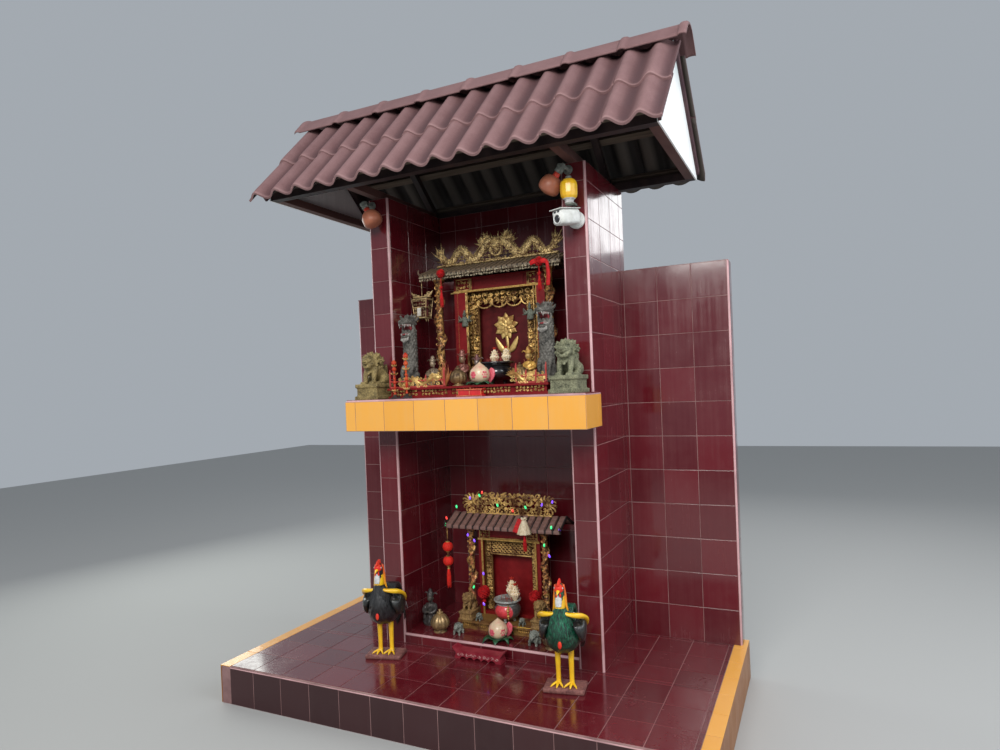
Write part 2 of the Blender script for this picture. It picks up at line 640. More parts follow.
def limb(work, points, rings=14, sides=8, side=X, wave=None):
    """A closed tapered body swept through (x, y, z, half width[, half height]) points."""
    part, hoops = bmesh.new(), {}
    points = [point if len(point) == 5 else (*point, point[3]) for point in points]
    for v in bmesh.ops.create_grid(part, x_segments=rings, y_segments=sides, size=0.5)["verts"]:
        u, turn = v.co.x + 0.5, 2 * pi * (v.co.y + 0.5)
        if round(u * rings) not in hoops:
            ahead = Vector(spline(points, u + 0.02)[:3]) - Vector(spline(points, u - 0.02)[:3])
            hoops[round(u * rings)] = spline(points, u), ahead.cross(side).normalized()
        at, up = hoops[round(u * rings)]
        swell = wave(u, turn) if wave else 1.0
        spoke = side * (cos(turn) * at[3]) + up * (sin(turn) * at[4])
        v.co = work.place @ (Vector(at[:3]) + swell * spoke)
    bmesh.ops.remove_doubles(part, verts=list(part.verts), dist=1e-6)
    bmesh.ops.holes_fill(part, edges=[e for e in part.edges if e.is_boundary], sides=0)
    merge(work, part)


def block(work, low, high, round_off=0.0):
    """A box between two corners, its edges rounded."""
    size = [b - a for a, b in zip(low, high)]
    middle = Vector([(a + b) / 2 for a, b in zip(low, high)])
    part = bmesh.new()
    bmesh.ops.create_cube(part, size=1, matrix=work.place @ shift(middle) @ sized(size))
    if round_off:
        bmesh.ops.bevel(part, geom=list(part.edges), offset=round_off * 0.001, segments=2,
            profile=0.5, affect="EDGES", material=-1)
    merge(work, part)


def ball(work, at, radii, fine=2):
    """An ellipsoid at a place with three half widths."""
    shape = work.place @ shift(Vector(at)) @ sized(radii)
    part = bmesh.new()
    bmesh.ops.create_icosphere(part, subdivisions=fine, radius=1, matrix=shape)
    merge(work, part)


def spike(work, root, tip, r, sides=5):
    """A thin curved point from root to tip."""
    root, tip = Vector(root), Vector(tip)
    side = Y if abs((tip - root).normalized().y) < 0.8 else X
    limb(work, [(*root, r), (*root.lerp(tip, 0.55), r * 0.75, r * 0.62), (*tip, r * 0.08)], 4,
        sides, side)


def curl(work, at, radius, turn, hand, thick, depth, rings=13):
    """A C-scroll in the XZ plane: a tapering spiral that ends in a bud."""
    points = []
    for k in range(7):
        a = turn + hand * k * 0.85
        r = radius * (1 - 0.145 * k)
        points.append((at[0] + r * cos(a), at[1], at[2] + r * sin(a), depth * (1 - 0.06 * k),
            thick * (0.55 + 0.45 * sin(0.5 * k))))
    limb(work, points, rings, 5, Y)
    ball(work, points[-1][:3], (thick * 1.25, depth * 1.1, thick * 1.25), 1)


def foliage(work, low, high, y, pitch, depth, inside=None):
    """Carved openwork that fills a panel: scrolls in alternate hands, leaves and buds."""
    columns = max(1, round((high[0] - low[0]) / pitch))
    rows = max(1, round((high[1] - low[1]) / pitch))
    for i in range(columns):
        for j in range(rows):
            x = low[0] + (i + 0.5) * (high[0] - low[0]) / columns
            z = low[1] + (j + 0.5) * (high[1] - low[1]) / rows
            if inside and not inside(x, z):
                continue
            hand = 1 if (i + j) % 2 else -1
            r = 0.46 * min((high[0] - low[0]) / columns, (high[1] - low[1]) / rows)
            curl(work, (x, y, z), r, chance.uniform(0, 6.28), hand, r * 0.26,
                depth * chance.uniform(0.7, 1.0))
            for _ in range(2):
                a = chance.uniform(0, 6.28)
                tip = (x + 1.15 * r * cos(a), y - depth * 0.5, z + 1.15 * r * sin(a))
                spike(work, (x, y, z), tip, r * 0.20)


def turned(work, profile, at=(0, 0, 0), around=40, facing=False):
    """A shape spun round the upright line through a place, or one that faces the front,
    from (radius, height) points."""
    place = work.place
    if facing:
        place, at = place @ shift(at) @ spin("X", pi / 2), (0, 0, 0)
    at, part = Vector(at), bmesh.new()
    line = [part.verts.new(place @ (at + Vector((r, 0, h)))) for r, h in profile]
    edges = [part.edges.new(pair) for pair in zip(line, line[1:])]
    bmesh.ops.spin(part, geom=line + edges, cent=place @ at,
        axis=(place.to_3x3() @ Z).normalized(), angle=2 * pi, steps=around, use_merge=True)
    bmesh.ops.remove_doubles(part, verts=list(part.verts), dist=1e-7)
    merge(work, part)


def smooth_all(work):
    bmesh.ops.recalc_face_normals(work.mesh, faces=list(work.mesh.faces))
    for face in work.mesh.faces:
        face.smooth = True


def add_smooth(name, work, finish, slot, stands_for=()):
    """A carved or turned piece: smooth all over."""
    smooth_all(work)
    return add_piece(name, work, finish, stands_for)


def lacquer(name, deep, bright):
    """Old red lacquer: rubbed paler on a fine scale, dust that dulls the gloss."""
    made = Finish(name, Specular_IOR_Level=0.22)
    rub = made.noise(16.0, 6.0, 0.65).over(0.35, 0.75)
    made.mottle(rub, deep, bright, 0.25, 0.36)
    made.bump(made.noise(90.0, 4.0), 0.0007, 0.3)
    return made


def gilding(name, gold, shadow, scale=60.0, metal=0.55):
    """Antique gold paint: worn to brown in its hollows, glinting on its tops."""
    made = Finish(name, Specular_IOR_Level=0.5, Metallic=metal)
    patch = made.noise(scale, 5.0, 0.7)
    grime = made.noise(scale * 0.3, 3.0).over(0.35, 0.7)
    worn = (patch * 0.75 + grime * 0.35).over(0.44, 0.70)
    made.mottle(worn, gold, shadow, 0.3, 0.33)
    made.bump(patch * 0.6 + made.noise(scale * 5, 3.0) * 0.4, 0.0016, 0.6)
    return made


red_lacquer = lacquer("red_lacquer", (0.150, 0.005, 0.007), (0.250, 0.012, 0.014))
rail_red = lacquer("rail_red", (0.34, 0.030, 0.028), (0.50, 0.10, 0.085))
gold = gilding("gilt", (0.70, 0.42, 0.12), (0.095, 0.034, 0.012), 45.0, 0.45)
bright_gold = gilding("bright_gilt", (0.80, 0.56, 0.20), (0.30, 0.15, 0.04), 30.0, 0.45)
for node in ("upper_altar_base", "lower_altar_cabinet"):
    dress(node, red_lacquer)
dress("upper_altar_cabinet", lacquer("deep_red_lacquer", (0.060, 0.004, 0.005),
    (0.125, 0.008, 0.009)))

# Upper altar: fret and rail
# Openwork panels carved from thin board fill the table's waist, and a low red rail with
# two gilt dragons runs along its front edge.
TABLE_FRONT, TABLE_HALF, TABLE_TOP = -150, 500, 60
fret = Work(SHELF)
for i in range(5):
    left = -TABLE_HALF + 24 + i * 195.2
    foliage(fret, (left + 2, 13), (left + 172, 50), TABLE_FRONT + 12, 20, 7)
add_smooth("table_fret", fret, bright_gold, "gilt")

bars = Work(SHELF)
for x0, x1 in ((-TABLE_HALF + 6, -120), (312, TABLE_HALF - 6)):
    y = TABLE_FRONT + 4
    block(bars, (x0, y, TABLE_TOP), (x1, y + 10, TABLE_TOP + 9), 1.5)
    block(bars, (x0, y + 1, TABLE_TOP + 34), (x1, y + 9, TABLE_TOP + 43), 1.5)
    for i in range(4):
        x = x0 + i * (x1 - x0 - 10) / 3
        top = TABLE_TOP + (94 if i % 3 == 0 else 58)
        block(bars, (x, y, TABLE_TOP), (x + 9, y + 9, top), 1.5)
        spike(bars, (x + 4.5, y + 4.5, top - 2), (x + 7, y + 4, top + 16), 5)
add_piece("altar_rail_bars", bars, rail_red, ["altar_rail"])

rail_dragons = Work(SHELF)
for x0, x1, hand in ((-430, -150, -1), (276, 480, 1)):
    y = TABLE_FRONT + 9
    long = x1 - x0
    along = lambda f: x0 + long * (f if hand > 0 else 1 - f)
    body = [(along(0.06 + 0.9 * k / 9), y + 3 * sin(2.1 * k),
        TABLE_TOP + 24 + 15 * sin(k * 1.35) + 22 * (1 - k / 9) ** 2,
        10 - 0.75 * k, 12 - 0.9 * k) for k in range(10)]
    limb(rail_dragons, body, 40, 8, Y)
    for k in range(30):
        at = spline(body, k / 30)
        spike(rail_dragons, at[:3], (at[0] - 8 * hand, at[1], at[2] + at[4] + 12), 5, 4)
        if k % 2:
            curl(rail_dragons, (at[0], at[1] - 3, at[2] - 15 + 5 * sin(2.0 * k)), 12, k, 1, 3.6, 5,
                9)
            curl(rail_dragons, (at[0] + 6, at[1] + 4, at[2] + 18 + 6 * sin(1.3 * k)), 10, 2 * k,
                -1, 3.4, 5, 9)
    head = body[0]
    ball(rail_dragons, (head[0], head[1] - 2, head[2] + 6), (15, 11, 13))
    for k in range(7):
        a = 0.5 + k * 0.42
        spike(rail_dragons, head[:3], (head[0] + 34 * cos(a), head[1], head[2] + 30 * sin(a)), 6)
    foliage(rail_dragons, (x0, TABLE_TOP + 6), (x1, TABLE_TOP + 62), y, 27, 8)
    tail = body[-1]
    for k in range(5):
        a = (0.2 + k * 0.35) if hand > 0 else (2.9 - k * 0.35)
        spike(rail_dragons, tail[:3], (tail[0] + 26 * cos(a), tail[1], tail[2] + 30 * sin(a)), 5)
add_smooth("rail_dragons", rail_dragons, bright_gold, "gilt")

# Upper altar: screen
# A red board framed by gold bars, with two carved end panels and a bare centre over an
# openwork arch of gilt scrolls; small painted figures stand on its sides.
CABINET_HALF, EAVE_H, SCREEN_Y, ARCH_Y = 300, 735, 316, 390
ALCOVE_HALF, SPRING = 165, 540


def screen_finish(name, bar_y, arch_y):
    """Gold on the raised bars, red on the board behind, old gilt on the arch further in."""
    made = Finish(name, Specular_IOR_Level=0.25)
    x, y, z = made.axes()
    patch = made.noise(70.0, 5.0, 0.7).over(0.35, 0.75)
    on_bar = 1 - y.over(HOUSE.y + bar_y / 1000, HOUSE.y + (bar_y + 1) / 1000)
    on_arch = y.over(HOUSE.y + arch_y / 1000 - 0.02, HOUSE.y + arch_y / 1000 - 0.019)
    red = patch.blend((0.14, 0.005, 0.006), (0.24, 0.012, 0.013))
    gilt = patch.blend((0.66, 0.42, 0.12), (0.16, 0.065, 0.02))
    old = patch.blend((0.20, 0.10, 0.03), (0.05, 0.018, 0.008))
    made.put(Base_Color=on_arch.blend(on_bar.blend(red, gilt), old), Metallic=on_bar * 0.5,
        Roughness=patch * 0.2 + 0.36)
    made.bump(patch, 0.0009, 0.4)
    return made


dress("upper_altar_frame", screen_finish("upper_screen", SCREEN_Y - 3, ARCH_Y))
dress("lower_altar_frame", screen_finish("lower_screen", 334, 380))


def cusped(x, z, half, spring):
    """True on the board around a cusped opening."""
    if abs(x) > half + 3:
        return True
    cusp = half / 4
    head = spring + cusp * sqrt(max(0.0, 1 - ((abs(x) % (2 * cusp)) / cusp - 1) ** 2))
    return z > head + 8


carving = Work(SHELF)
for side in (-1, 1):
    inner, outer = sorted((side * (ALCOVE_HALF + 2), side * (CABINET_HALF - 44)))
    foliage(carving, (inner, 90), (outer, 640), ARCH_Y - 9, 44, 12)
    foliage(carving, (inner, 90), (outer, 640), ARCH_Y - 5, 24, 7)
over_arch = lambda x, z: cusped(x, z, ALCOVE_HALF, SPRING)
foliage(carving, (-ALCOVE_HALF, SPRING), (ALCOVE_HALF, 642), ARCH_Y - 5, 25, 8, over_arch)
foliage(carving, (-245, 560), (250, 640), 352, 40, 11)
for i in range(5):
    middle = -200 + 100 * i
    rope = [(middle - 50 * cos(k * pi / 6), 346, 572 - 34 * sin(k * pi / 6), 5) for k in range(7)]
    limb(carving, rope, 40, 6, Y, lambda u, turn: 1 + 0.22 * sin(60 * u + turn))
for side in (-1, 1):
    foliage(carving, (side * 205 - 28, 470), (side * 205 + 28, 570), 352, 30, 9)
    panel = (-280, -184) if side < 0 else (216, 312)
    foliage(carving, (panel[0], 662), (panel[1], 720), SCREEN_Y - 3, 27, 7)
    for z0, z1 in ((655, 660), (722, 727)):
        block(carving, (panel[0] - 4, SCREEN_Y - 7, z0), (panel[1] + 4, SCREEN_Y + 1, z1), 1)
    for x in (*panel, panel[side < 0] - side * 9):
        block(carving, (x - 2.5, SCREEN_Y - 7, 655), (x + 2.5, SCREEN_Y + 1, 727), 1)
for x0, x1 in ((-216, -211), (-208, -203), (243, 248)):
    block(carving, (x0, 306, 90), (x1, 317, 641), 1)
for x0, x1 in ((-320, -262), (262, 320)):
    block(carving, (x0, SCREEN_Y - 8, 641), (x1, SCREEN_Y + 2, 648), 1)
add_smooth("upper_arch_carving", carving, gilding("screen_gilt", (0.84, 0.55, 0.19),
    (0.12, 0.045, 0.014), 42.0, 0.45), "gilt")
red_boards = Work(SHELF)
for low, high in (((-272, 308, 90), (-217, 317, 641)), ((263, 308, 90), (318, 330, 641)),
        ((263, 309, 648), (318, 330, 732))):
    block(red_boards, low, high, 1)
add_piece("screen_red_boards", red_boards, red_lacquer)

# Upper altar: gilt lotus on the back board
# A cut-out board covered in bright gold leaf, glued to the red back of the alcove.
lotus = Work(SHELF)
centre = (0, 434, TABLE_TOP + 365)
for ring, count, reach, wide in ((0, 9, 84, 21), (1, 9, 62, 17), (2, 6, 40, 13)):
    for k in range(count):
        a = 2 * pi * (k + 0.5 * ring) / count
        petal = [(centre[0] + reach * f * sin(a), centre[1] - 3 - 4 * ring,
            centre[2] + reach * f * cos(a), 4.5, wide * w)
            for f, w in ((0.12, 0.35), (0.45, 0.9), (0.75, 0.8), (1.0, 0.06))]
        limb(lotus, petal, 9, 8, Y)
ball(lotus, (centre[0], centre[1] - 8, centre[2]), (17, 11, 17))
limb(lotus, [(0, 435, centre[2] - 60, 4.5, 11), (5, 435, centre[2] - 120, 4.5, 10),
    (-4, 435, centre[2] - 180, 4.5, 11), (0, 435, centre[2] - 228, 4.5, 14)], 14, 8, Y)
for side in (-1, 1):
    limb(lotus, [(side * 4, 435, centre[2] - 165, 4, 6), (side * 38, 435, centre[2] - 140, 5, 20),
        (side * 66, 435, centre[2] - 92, 4, 13), (side * 76, 435, centre[2] - 66, 2, 1.5)], 10, 8,
        Y)
add_smooth("gilt_lotus", lotus, bright_gold, "gilt", ["gilt_emblem"])

# Altar columns
# Turned posts carved with a dragon wound round them, gilt over red.
for name, place, gap, y0, low, high, r in (("upper", SHELF, 370, 250, 60, 735, 24),
        ("lower", PLINTH, 250, 318, 50, 600, 20)):
    columns = Work(place)
    for side in (-1, 1):
        x0 = side * gap
        tall = high - low
        shaft = [(1.5, 0), (1.5, 16), (1.2, 19), (1.2, 29), (0.88, 33), (0.85, tall / 2),
            (0.88, tall - 36), (1.2, tall - 30), (1.2, tall - 19), (1.5, tall - 16), (1.5, tall)]
        turned(columns, [(r * f, h) for f, h in shaft], (x0, y0, low), 20)
        turns = 2.5 * 2 * pi
        coil = [(x0 + r * 0.78 * cos(turns * f), y0 + r * 0.78 * sin(turns * f),
            low + 40 + (tall - 85) * f,
            r * (0.30 + 0.56 * sin(pi * f))) for f in (k / 25 for k in range(26))]
        limb(columns, coil, 110, 8, Z)
        for k in range(66):
            at = spline(coil, (k + 0.5) / 66)
            out = Vector((at[0] - x0, at[1] - y0, 0)).normalized()
            spike(columns, at[:3], Vector(at[:3]) + out * (at[3] + 4) + Vector((0, 0, 8)), 3.4, 4)
        for k in range(22):
            a, h = 1.9 * k, low + 50 + (tall - 110) * k / 21
            curl(columns, (x0 + r * 0.35 * cos(a), y0 - r * 0.95, h), r * 0.55, a, 1, 4.2, 6, 9)
            ball(columns, (x0 + r * 0.8 * sin(a), y0 - r * 0.6, h + 9),
                (r * 0.32, r * 0.3, r * 0.36), 1)
        head = coil[-3]
        ball(columns, (head[0], head[1] - 4, head[2]), (r * 0.55, r * 0.6, r * 0.6))
    smooth_all(columns)
    column_gilt = Finish(name + "_column_gilt", Metallic=0.3, Specular_IOR_Level=0.45)
    patch = column_gilt.noise(48.0, 5.0, 0.7)
    ruddy = column_gilt.noise(30.0, 4.0).over(0.45, 0.62)
    flecked = (ruddy * 0.8).blend((0.66, 0.38, 0.12),
        (0.42, 0.075, 0.055) if name == "lower" else (0.26, 0.055, 0.030))
    column_gilt.put(Base_Color=patch.over(0.44, 0.58).blend(flecked, (0.050, 0.020, 0.012)),
        Roughness=patch * 0.3 + 0.3)
    column_gilt.bump(patch, 0.003, 0.7)
    add_piece(name + "_dragon_columns", columns, column_gilt, [name + "_altar_columns"])

# Small tiled roofs
# Moulded roofs over both altars: flat tile strips with narrow dark channels, a board
# along the eave, verges that curl up at their feet and, above, a lacy metal fringe.


def small_roof_finish(name, pitch, rolls, pale, dark):
    """Dusty painted strips with soot in the channels between them."""
    made = Finish(name, Specular_IOR_Level=0.4)
    x, y, z = made.axes()
    phase = pi * (rolls % 2)
    wave = x.maths("COSINE", (x - HOUSE.x) * (2000 * pi / pitch) + phase)
    channel = (wave * -0.5 + 0.5).over(0.80, 0.93)
    patch = made.noise(38.0, 6.0, 0.7).over(0.35, 0.8)
    dirt = (channel * 0.9 + patch * 0.5).over(0.05, 1.0)
    made.mottle(dirt, pale, dark, 0.2, 0.55)
    made.bump(made.noise(150.0, 5.0), 0.0012, 0.5)
    return made


def small_roof(work, w, y0, ridge_y, y1, eave, rise, board, pitch, laps):
    """A gable roof of flat-topped tile strips, with an eave board and curled verges."""
    place = work.place
    strips = floor((w - 20) / pitch) + 1
    for y, half_turn in ((y0, 0), (y1, pi)):
        run = abs(ridge_y - y)
        slope, long = atan2(rise - board, run), hypot(rise - board, run) / laps
        foot = place @ shift((0, y, eave + board)) @ spin("Z", half_turn) @ spin("X", slope)
        work.place = foot
        block(work, (-w / 2 + 2, 2, -3), (w / 2 - 2, long * laps, 1))
        for i in range(strips):
            x = (i - (strips - 1) / 2) * pitch
            for k in range(laps):
                work.place = foot @ shift((x, long * k, 1.6)) @ spin("X", -1.6 / long)
                block(work, (-pitch * 0.34, 0, 0), (pitch * 0.34, long + 2, 8.5), 2.4)
    work.place = place
    block(work, (-w / 2, y0 - 4, eave), (w / 2, y0 + 10, eave + board + 8), 2)
    for side in (-1, 1):
        x = side * (w / 2 - 7)
        for y, away in ((y0, -1), (y1, 1)):
            verge = [(x, ridge_y, eave + rise + 7, 7),
                (x, (y + ridge_y) / 2, eave + (rise + board) / 2 + 6, 7),
                (x, y, eave + board + 10, 7),
                (x + side * 6, y + away * 12, eave + board + 20, 5, 6),
                (x + side * 4, y + away * 8, eave + board + 38, 2, 3)]
            limb(work, verge, 20, 8, X)
    return strips - 1


EAVE_Y = 185
UPPER_ROOF = (940, EAVE_Y, 330, 475, EAVE_H, 76, 16, 34, 4)
LOWER_ROOF = (774, 240, 360, 480, 600, 75, 12, 48, 4)
for name, place, sizes, tones in (
        ("upper", SHELF, UPPER_ROOF, ((0.15, 0.105, 0.065), (0.014, 0.011, 0.010))),
        ("lower", PLINTH, LOWER_ROOF, ((0.23, 0.125, 0.105), (0.020, 0.012, 0.012)))):
    tiles = Work(place)
    rolls = small_roof(tiles, *sizes)
    paint = small_roof_finish(name + "_roof_paint", sizes[-2], rolls, *tones)
    add_smooth(name + "_small_roof", tiles, paint,
        "altar_roof" if name == "upper" else "lower_roof", [name + "_altar_roof"])
fringe = Work(SHELF)
foliage(fringe, (-468, EAVE_H - 20), (468, EAVE_H + 16), EAVE_Y - 8, 18, 6)
add_smooth("eave_fringe", fringe, gilding("grey_gold", (0.50, 0.43, 0.30), (0.12, 0.09, 0.06),
    50.0, 0.35), "altar_roof")

# Dragon crest of the upper altar
# Two gilt dragons face a flaming pearl over waves and clouds, cast in plaster over wire
# and set in a slot along the ridge; their tails and manes end in flame-like points.
RIDGE_FOOT = EAVE_H + 75
CREST = SHELF @ shift((0, 330, RIDGE_FOOT))
crest_gold = Finish("crest_gilt", Metallic=0.4, Specular_IOR_Level=0.5)
scales = crest_gold.node("TexVoronoi", "Distance", Vector=crest_gold.place(), Scale=120.0)
patch = crest_gold.noise(34.0, 6.0, 0.7).over(0.35, 0.75)
recess = (scales.over(0.1, 0.65) * 0.5 + patch * 0.7).over(0.25, 0.85)
crest_gold.mottle(recess, (0.96, 0.72, 0.32), (0.11, 0.045, 0.016), 0.25, 0.34)
crest_gold.bump(scales * -1.0, 0.004, 0.8)


def fan(work, at, aim, spread, count, size, wide, mirror=1):
    """Flame-like points that spread from one place and bend upwards."""
    for k in range(count):
        a = aim + (k - (count - 1) / 2) * spread / count
        reach = size * (0.78 + 0.22 * cos(2.1 * k))
        path = [(at[0] + reach * f * cos(a), at[1] + 4 * sin(2.4 * k),
            at[2] + reach * f * sin(a) + size * 0.2 * f * f, wide * w)
            for f, w in ((0.05, 0.8), (0.5, 1.0), (1.0, 0.08))]
        limb(work, [(mirror * x, y, z, w, w * 0.7) for x, y, z, w in path], 6, 6, Y)


crest = Work(CREST)
for z in (0, 12):
    block(crest, (-410, -16, z), (410, 16, z + 8), 1.5)
block(crest, (-412, -30, 6), (412, -14, 15), 2)
dragon = [(70, 108, 15, 22), (102, 82, 13, 24), (134, 42, 14, 24), (168, 32, 14, 23),
    (200, 62, 14, 22), (230, 100, 13, 21),
    (264, 98, 13, 20), (290, 58, 12, 19), (318, 32, 11, 17), (352, 38, 10, 15), (382, 72, 8, 12),
    (398, 122, 3, 4)]
rows = lambda u, turn: 1 + 0.055 * ((46 * u + (0.5 if cos(4 * turn) > 0 else 0)) % 1)
for mirror in (1, -1):
    body = [(mirror * x, 0, z, wide, high) for x, z, wide, high in dragon]
    limb(crest, body, 120, 12, Y, rows)
    head = [(84, 98, 15, 24), (62, 124, 18, 25), (44, 142, 14, 19), (24, 140, 9, 10)]
    limb(crest, [(mirror * x, 0, z, wide, high) for x, z, wide, high in head], 16, 12, Y)
    limb(crest, [(mirror * 62, 0, 110, 10, 9), (mirror * 40, 0, 112, 10, 7),
        (mirror * 24, 0, 116, 6, 4)], 8, 8, Y)
    for side in (-1, 1):
        ball(crest, (mirror * 50, side * 13, 148), (6, 5, 6), 1)
        limb(crest, [(mirror * 60, side * 9, 152, 5), (mirror * 74, side * 14, 172, 4),
            (mirror * 92, side * 15, 186, 1)], 7, 6, Y)
    for k in range(60):
        at = spline(body, (k + 0.5) / 60)
        ahead = (Vector(spline(body, k / 60)[:3]) - Vector(spline(body,
            (k + 1) / 60)[:3])).normalized()
        up = ahead.cross(Y).normalized()
        up *= copysign(1, up.z)
        root = Vector(at[:3]) + up * (at[4] - 2)
        spike(crest, root, root + up * 15 + ahead * 6, 5, 4)
    fan(crest, (384, 0, 58), 1.15, 1.5, 9, 92, 8, mirror)
    fan(crest, (372, 0, 40), 0.35, 1.0, 4, 50, 7, mirror)
    fan(crest, (88, 0, 118), 1.25, 2.6, 13, 62, 8, mirror)
    fan(crest, (70, 0, 150), 1.9, 1.6, 7, 44, 7, mirror)
    for x in (156, 306):
        for side in (-1, 1):
            limb(crest, [(mirror * x, side * 12, 46, 8, 9),
                (mirror * (x + 14), side * 14, 30, 6, 7), (mirror * (x - 2), side * 14, 14, 6)], 8,
                6, Y)
            fan(crest, (x - 2, side * 14, 14), 3.6, 2.0, 4, 16, 4, mirror)


def under_dragon(x, z):
    """True where clouds fill the gap below a dragon or beside the pearl."""
    at = abs(x)
    back = next((a[1] + (b[1] - a[1]) * (at - a[0]) / (b[0] - a[0]) for a,
        b in zip(dragon, dragon[1:]) if a[0] <= at < b[0]), 110)
    return z < back - 10 and hypot(x, z - 80) > 40


foliage(crest, (-380, 14), (380, 110), -2, 23, 10, under_dragon)
fan(crest, (0, 0, 96), pi / 2, 3.4, 15, 84, 10)
turned(crest, [(28, 0), (31, 9), (37, 12), (43, 9), (46, 0), (43, -9), (37, -12), (31, -9),
    (28, 0)], (0, 0, 80), facing=True)
ball(crest, (0, 0, 80), (17, 12, 17), 3)
for k in range(10):
    a = pi * k / 5
    ball(crest, (23 * cos(a), -9, 80 + 23 * sin(a)), (5, 4, 5), 1)
add_smooth("upper_dragon_crest", crest, crest_gold, "gilt", ["upper_ridge_dragons"])

# Crest of the lower altar
# A domed board of cast gilt scrolls and rings on a bar, with a shell-like fan at both ends.
LOW_CREST = PLINTH @ shift((0, 349, 655))
carved_gold = gilding("carved_gilt", (0.80, 0.52, 0.18), (0.13, 0.050, 0.016), 42.0, 0.4)
low_crest = Work(LOW_CREST)
for z in (0, 20):
    block(low_crest, (-290, 0, z), (290, 22, z + 9), 1.5)
dome = lambda x, z: z < 104 + 58 * cos(x / 290 * 1.3)
foliage(low_crest, (-270, 28), (270, 160), 12, 44, 10, dome)
foliage(low_crest, (-286, 24), (286, 158), 8, 29, 8, dome)
for i in range(-3, 4):
    x, z = i * 72, 84 + 24 * cos(i * 0.4)
    turned(low_crest, [(13, 0), (16, 8), (21, 8), (24, 0), (18, -4), (13, 0)], (x, 8, z), 20,
        facing=True)
    fan(low_crest, (x + 36, 8, z + 14), pi / 2, 2.8, 5, 26, 6)
for side in (-1, 1):
    for k in range(8):
        a = radians(150 - k * 27)
        tip = Vector((side * cos(a), 0, sin(a)))
        root = Vector((side * 262, 9, 88))
        across = Vector((side * sin(a), 0, -cos(a)))
        limb(low_crest, [(*(root + tip * 12), 6, 4), (*(root + tip * 38 + across * 4), 9, 6),
            (*(root + tip * 55 + across * 16), 7, 6), (*(root + tip * 52 + across * 26), 3)], 8, 6,
            Y)
    ball(low_crest, (side * 262, 8, 88), (13, 9, 13))
add_smooth("lower_scroll_crest", low_crest, carved_gold, "gilt", ["lower_altar_crest"])

# Lower altar: carving
# The same kind of openwork: a border of scrolls round the red alcove under a straight
# valance of rings, and carved end squares on the lintel; frets fill the base.
low_carving = Work(PLINTH)
for side in (-1, 1):
    inner, outer = sorted((side * 138, side * 176))
    foliage(low_carving, (inner, 70), (outer, 515), 372, 38, 10)
    foliage(low_carving, (inner, 70), (outer, 515), 376, 20, 6)
block(low_carving, (-140, 366, 420), (140, 380, 427), 1.5)
for x in range(-117, 118, 26):
    for z in (444, 468, 492):
        turned(low_carving, [(6, 0), (7.5, 5), (10, 5), (11.5, 0), (9, -2), (6, 0)], (x, 371, z),
            14, facing=True)
        fan(low_carving, (x + 13, 372, z), pi / 4, 6.0, 4, 13, 3)
for side in (-1, 1):
    panel = sorted((side * 128, side * 196))
    foliage(low_carving, (panel[0], 536), (panel[1], 588), 336, 19, 6)
    for x in panel:
        block(low_carving, (x - 2, 331, 532), (x + 2, 339, 591), 0.8)
for z in (530, 589):
    block(low_carving, (-200, 331, z), (200, 339, z + 3), 0.8)
add_smooth("lower_arch_carving", low_carving, carved_gold, "gilt")
valance_back = Work(PLINTH)
block(valance_back, (-138, 376, 424), (138, 379, 470))
add_piece("valance_back_board", valance_back, lacquer("sooty_red", (0.035, 0.010, 0.008),
    (0.075, 0.014, 0.010)))
dress("lower_altar_base", gilding("base_old_gilt", (0.30, 0.17, 0.05), (0.10, 0.022, 0.014), 35.0,
    0.25))
low_fret = Work(PLINTH)
for i in range(3):
    left = -285 + 24 + i * 182
    foliage(low_fret, (left + 3, 14), (left + 155, 38), 200, 13, 5)
add_smooth("lower_base_fret", low_fret, gold, "gilt")
for name, x0, x1, tones in (("yellow", 110, 282, ((0.95, 0.62, 0.10), (0.60, 0.34, 0.05))),
        ("pink", 10, 108, ((0.62, 0.10, 0.10), (0.36, 0.05, 0.05)))):
    strip = Work(PLINTH)
    block(strip, (x0, 183.5, 38), (x1, 190, 51.5), 1)
    strip_paint = mottled(name + "_strip_paint", (60.0, 3.0), (0.3, 0.8), *tones, 0, 0.5)
    add_piece("base_" + name + "_strip", strip, strip_paint)

# Lanterns
# A gilt eared lantern with pierced sides hangs at the upper left; two red cloth globes and
# a tassel hang on one string under the lower left eave.
LANTERN = SHELF @ shift((-462, 195, 620))
lantern = Work(LANTERN)
lantern_low, lantern_high = (40, 30), (54, 40.5)
for sx in (-1, 1):
    for sy in (-1, 1):
        limb(lantern, [(sx * lantern_low[0], sy * lantern_low[1], -130, 4),
            (sx * 46, sy * 34, -70, 3.5), (sx * lantern_high[0], sy * lantern_high[1], 0, 4)], 6,
            6, X)
for z, grow in ((-130, 0.0), (-16, 0.85), (-66, 0.5)):
    hx, hy = (low + (high - low) * grow for low, high in zip(lantern_low, lantern_high))
    for sy in (-1, 1):
        block(lantern, (-hx, sy * hy - 3, z), (hx, sy * hy + 3, z + 8), 1)
    for sx in (-1, 1):
        block(lantern, (sx * hx - 3, -hy, z), (sx * hx + 3, hy, z + 8), 1)
for sy in (-1, 1):
    foliage(lantern, (-40, -120), (40, -60), sy * 33, 20, 4)
    foliage(lantern, (-46, -56), (46, -10), sy * 37, 20, 4)
for side in (-1, 1):
    ear = [(side * 20, 0, 12, 9, 8), (side * 52, 0, 13, 9, 8), (side * 66, 0, 24, 8, 7),
        (side * 79, 0, 40, 2)]
    limb(lantern, ear, 14, 8, Y)
    curl(lantern, (side * 50, -6, 22), 14, 0.3, side, 4, 6, 12)
    for y in (-12, 12):
        spike(lantern, (side * 30, y, -128), (side * 32, y, -152), 6)
block(lantern, (-60, -12, 0), (60, 12, 9), 2)
limb(lantern, [(0, 0, 8, 3), (0, 0, 60, 2.5), (0, 0, 116, 2.5)], 5, 8, X)
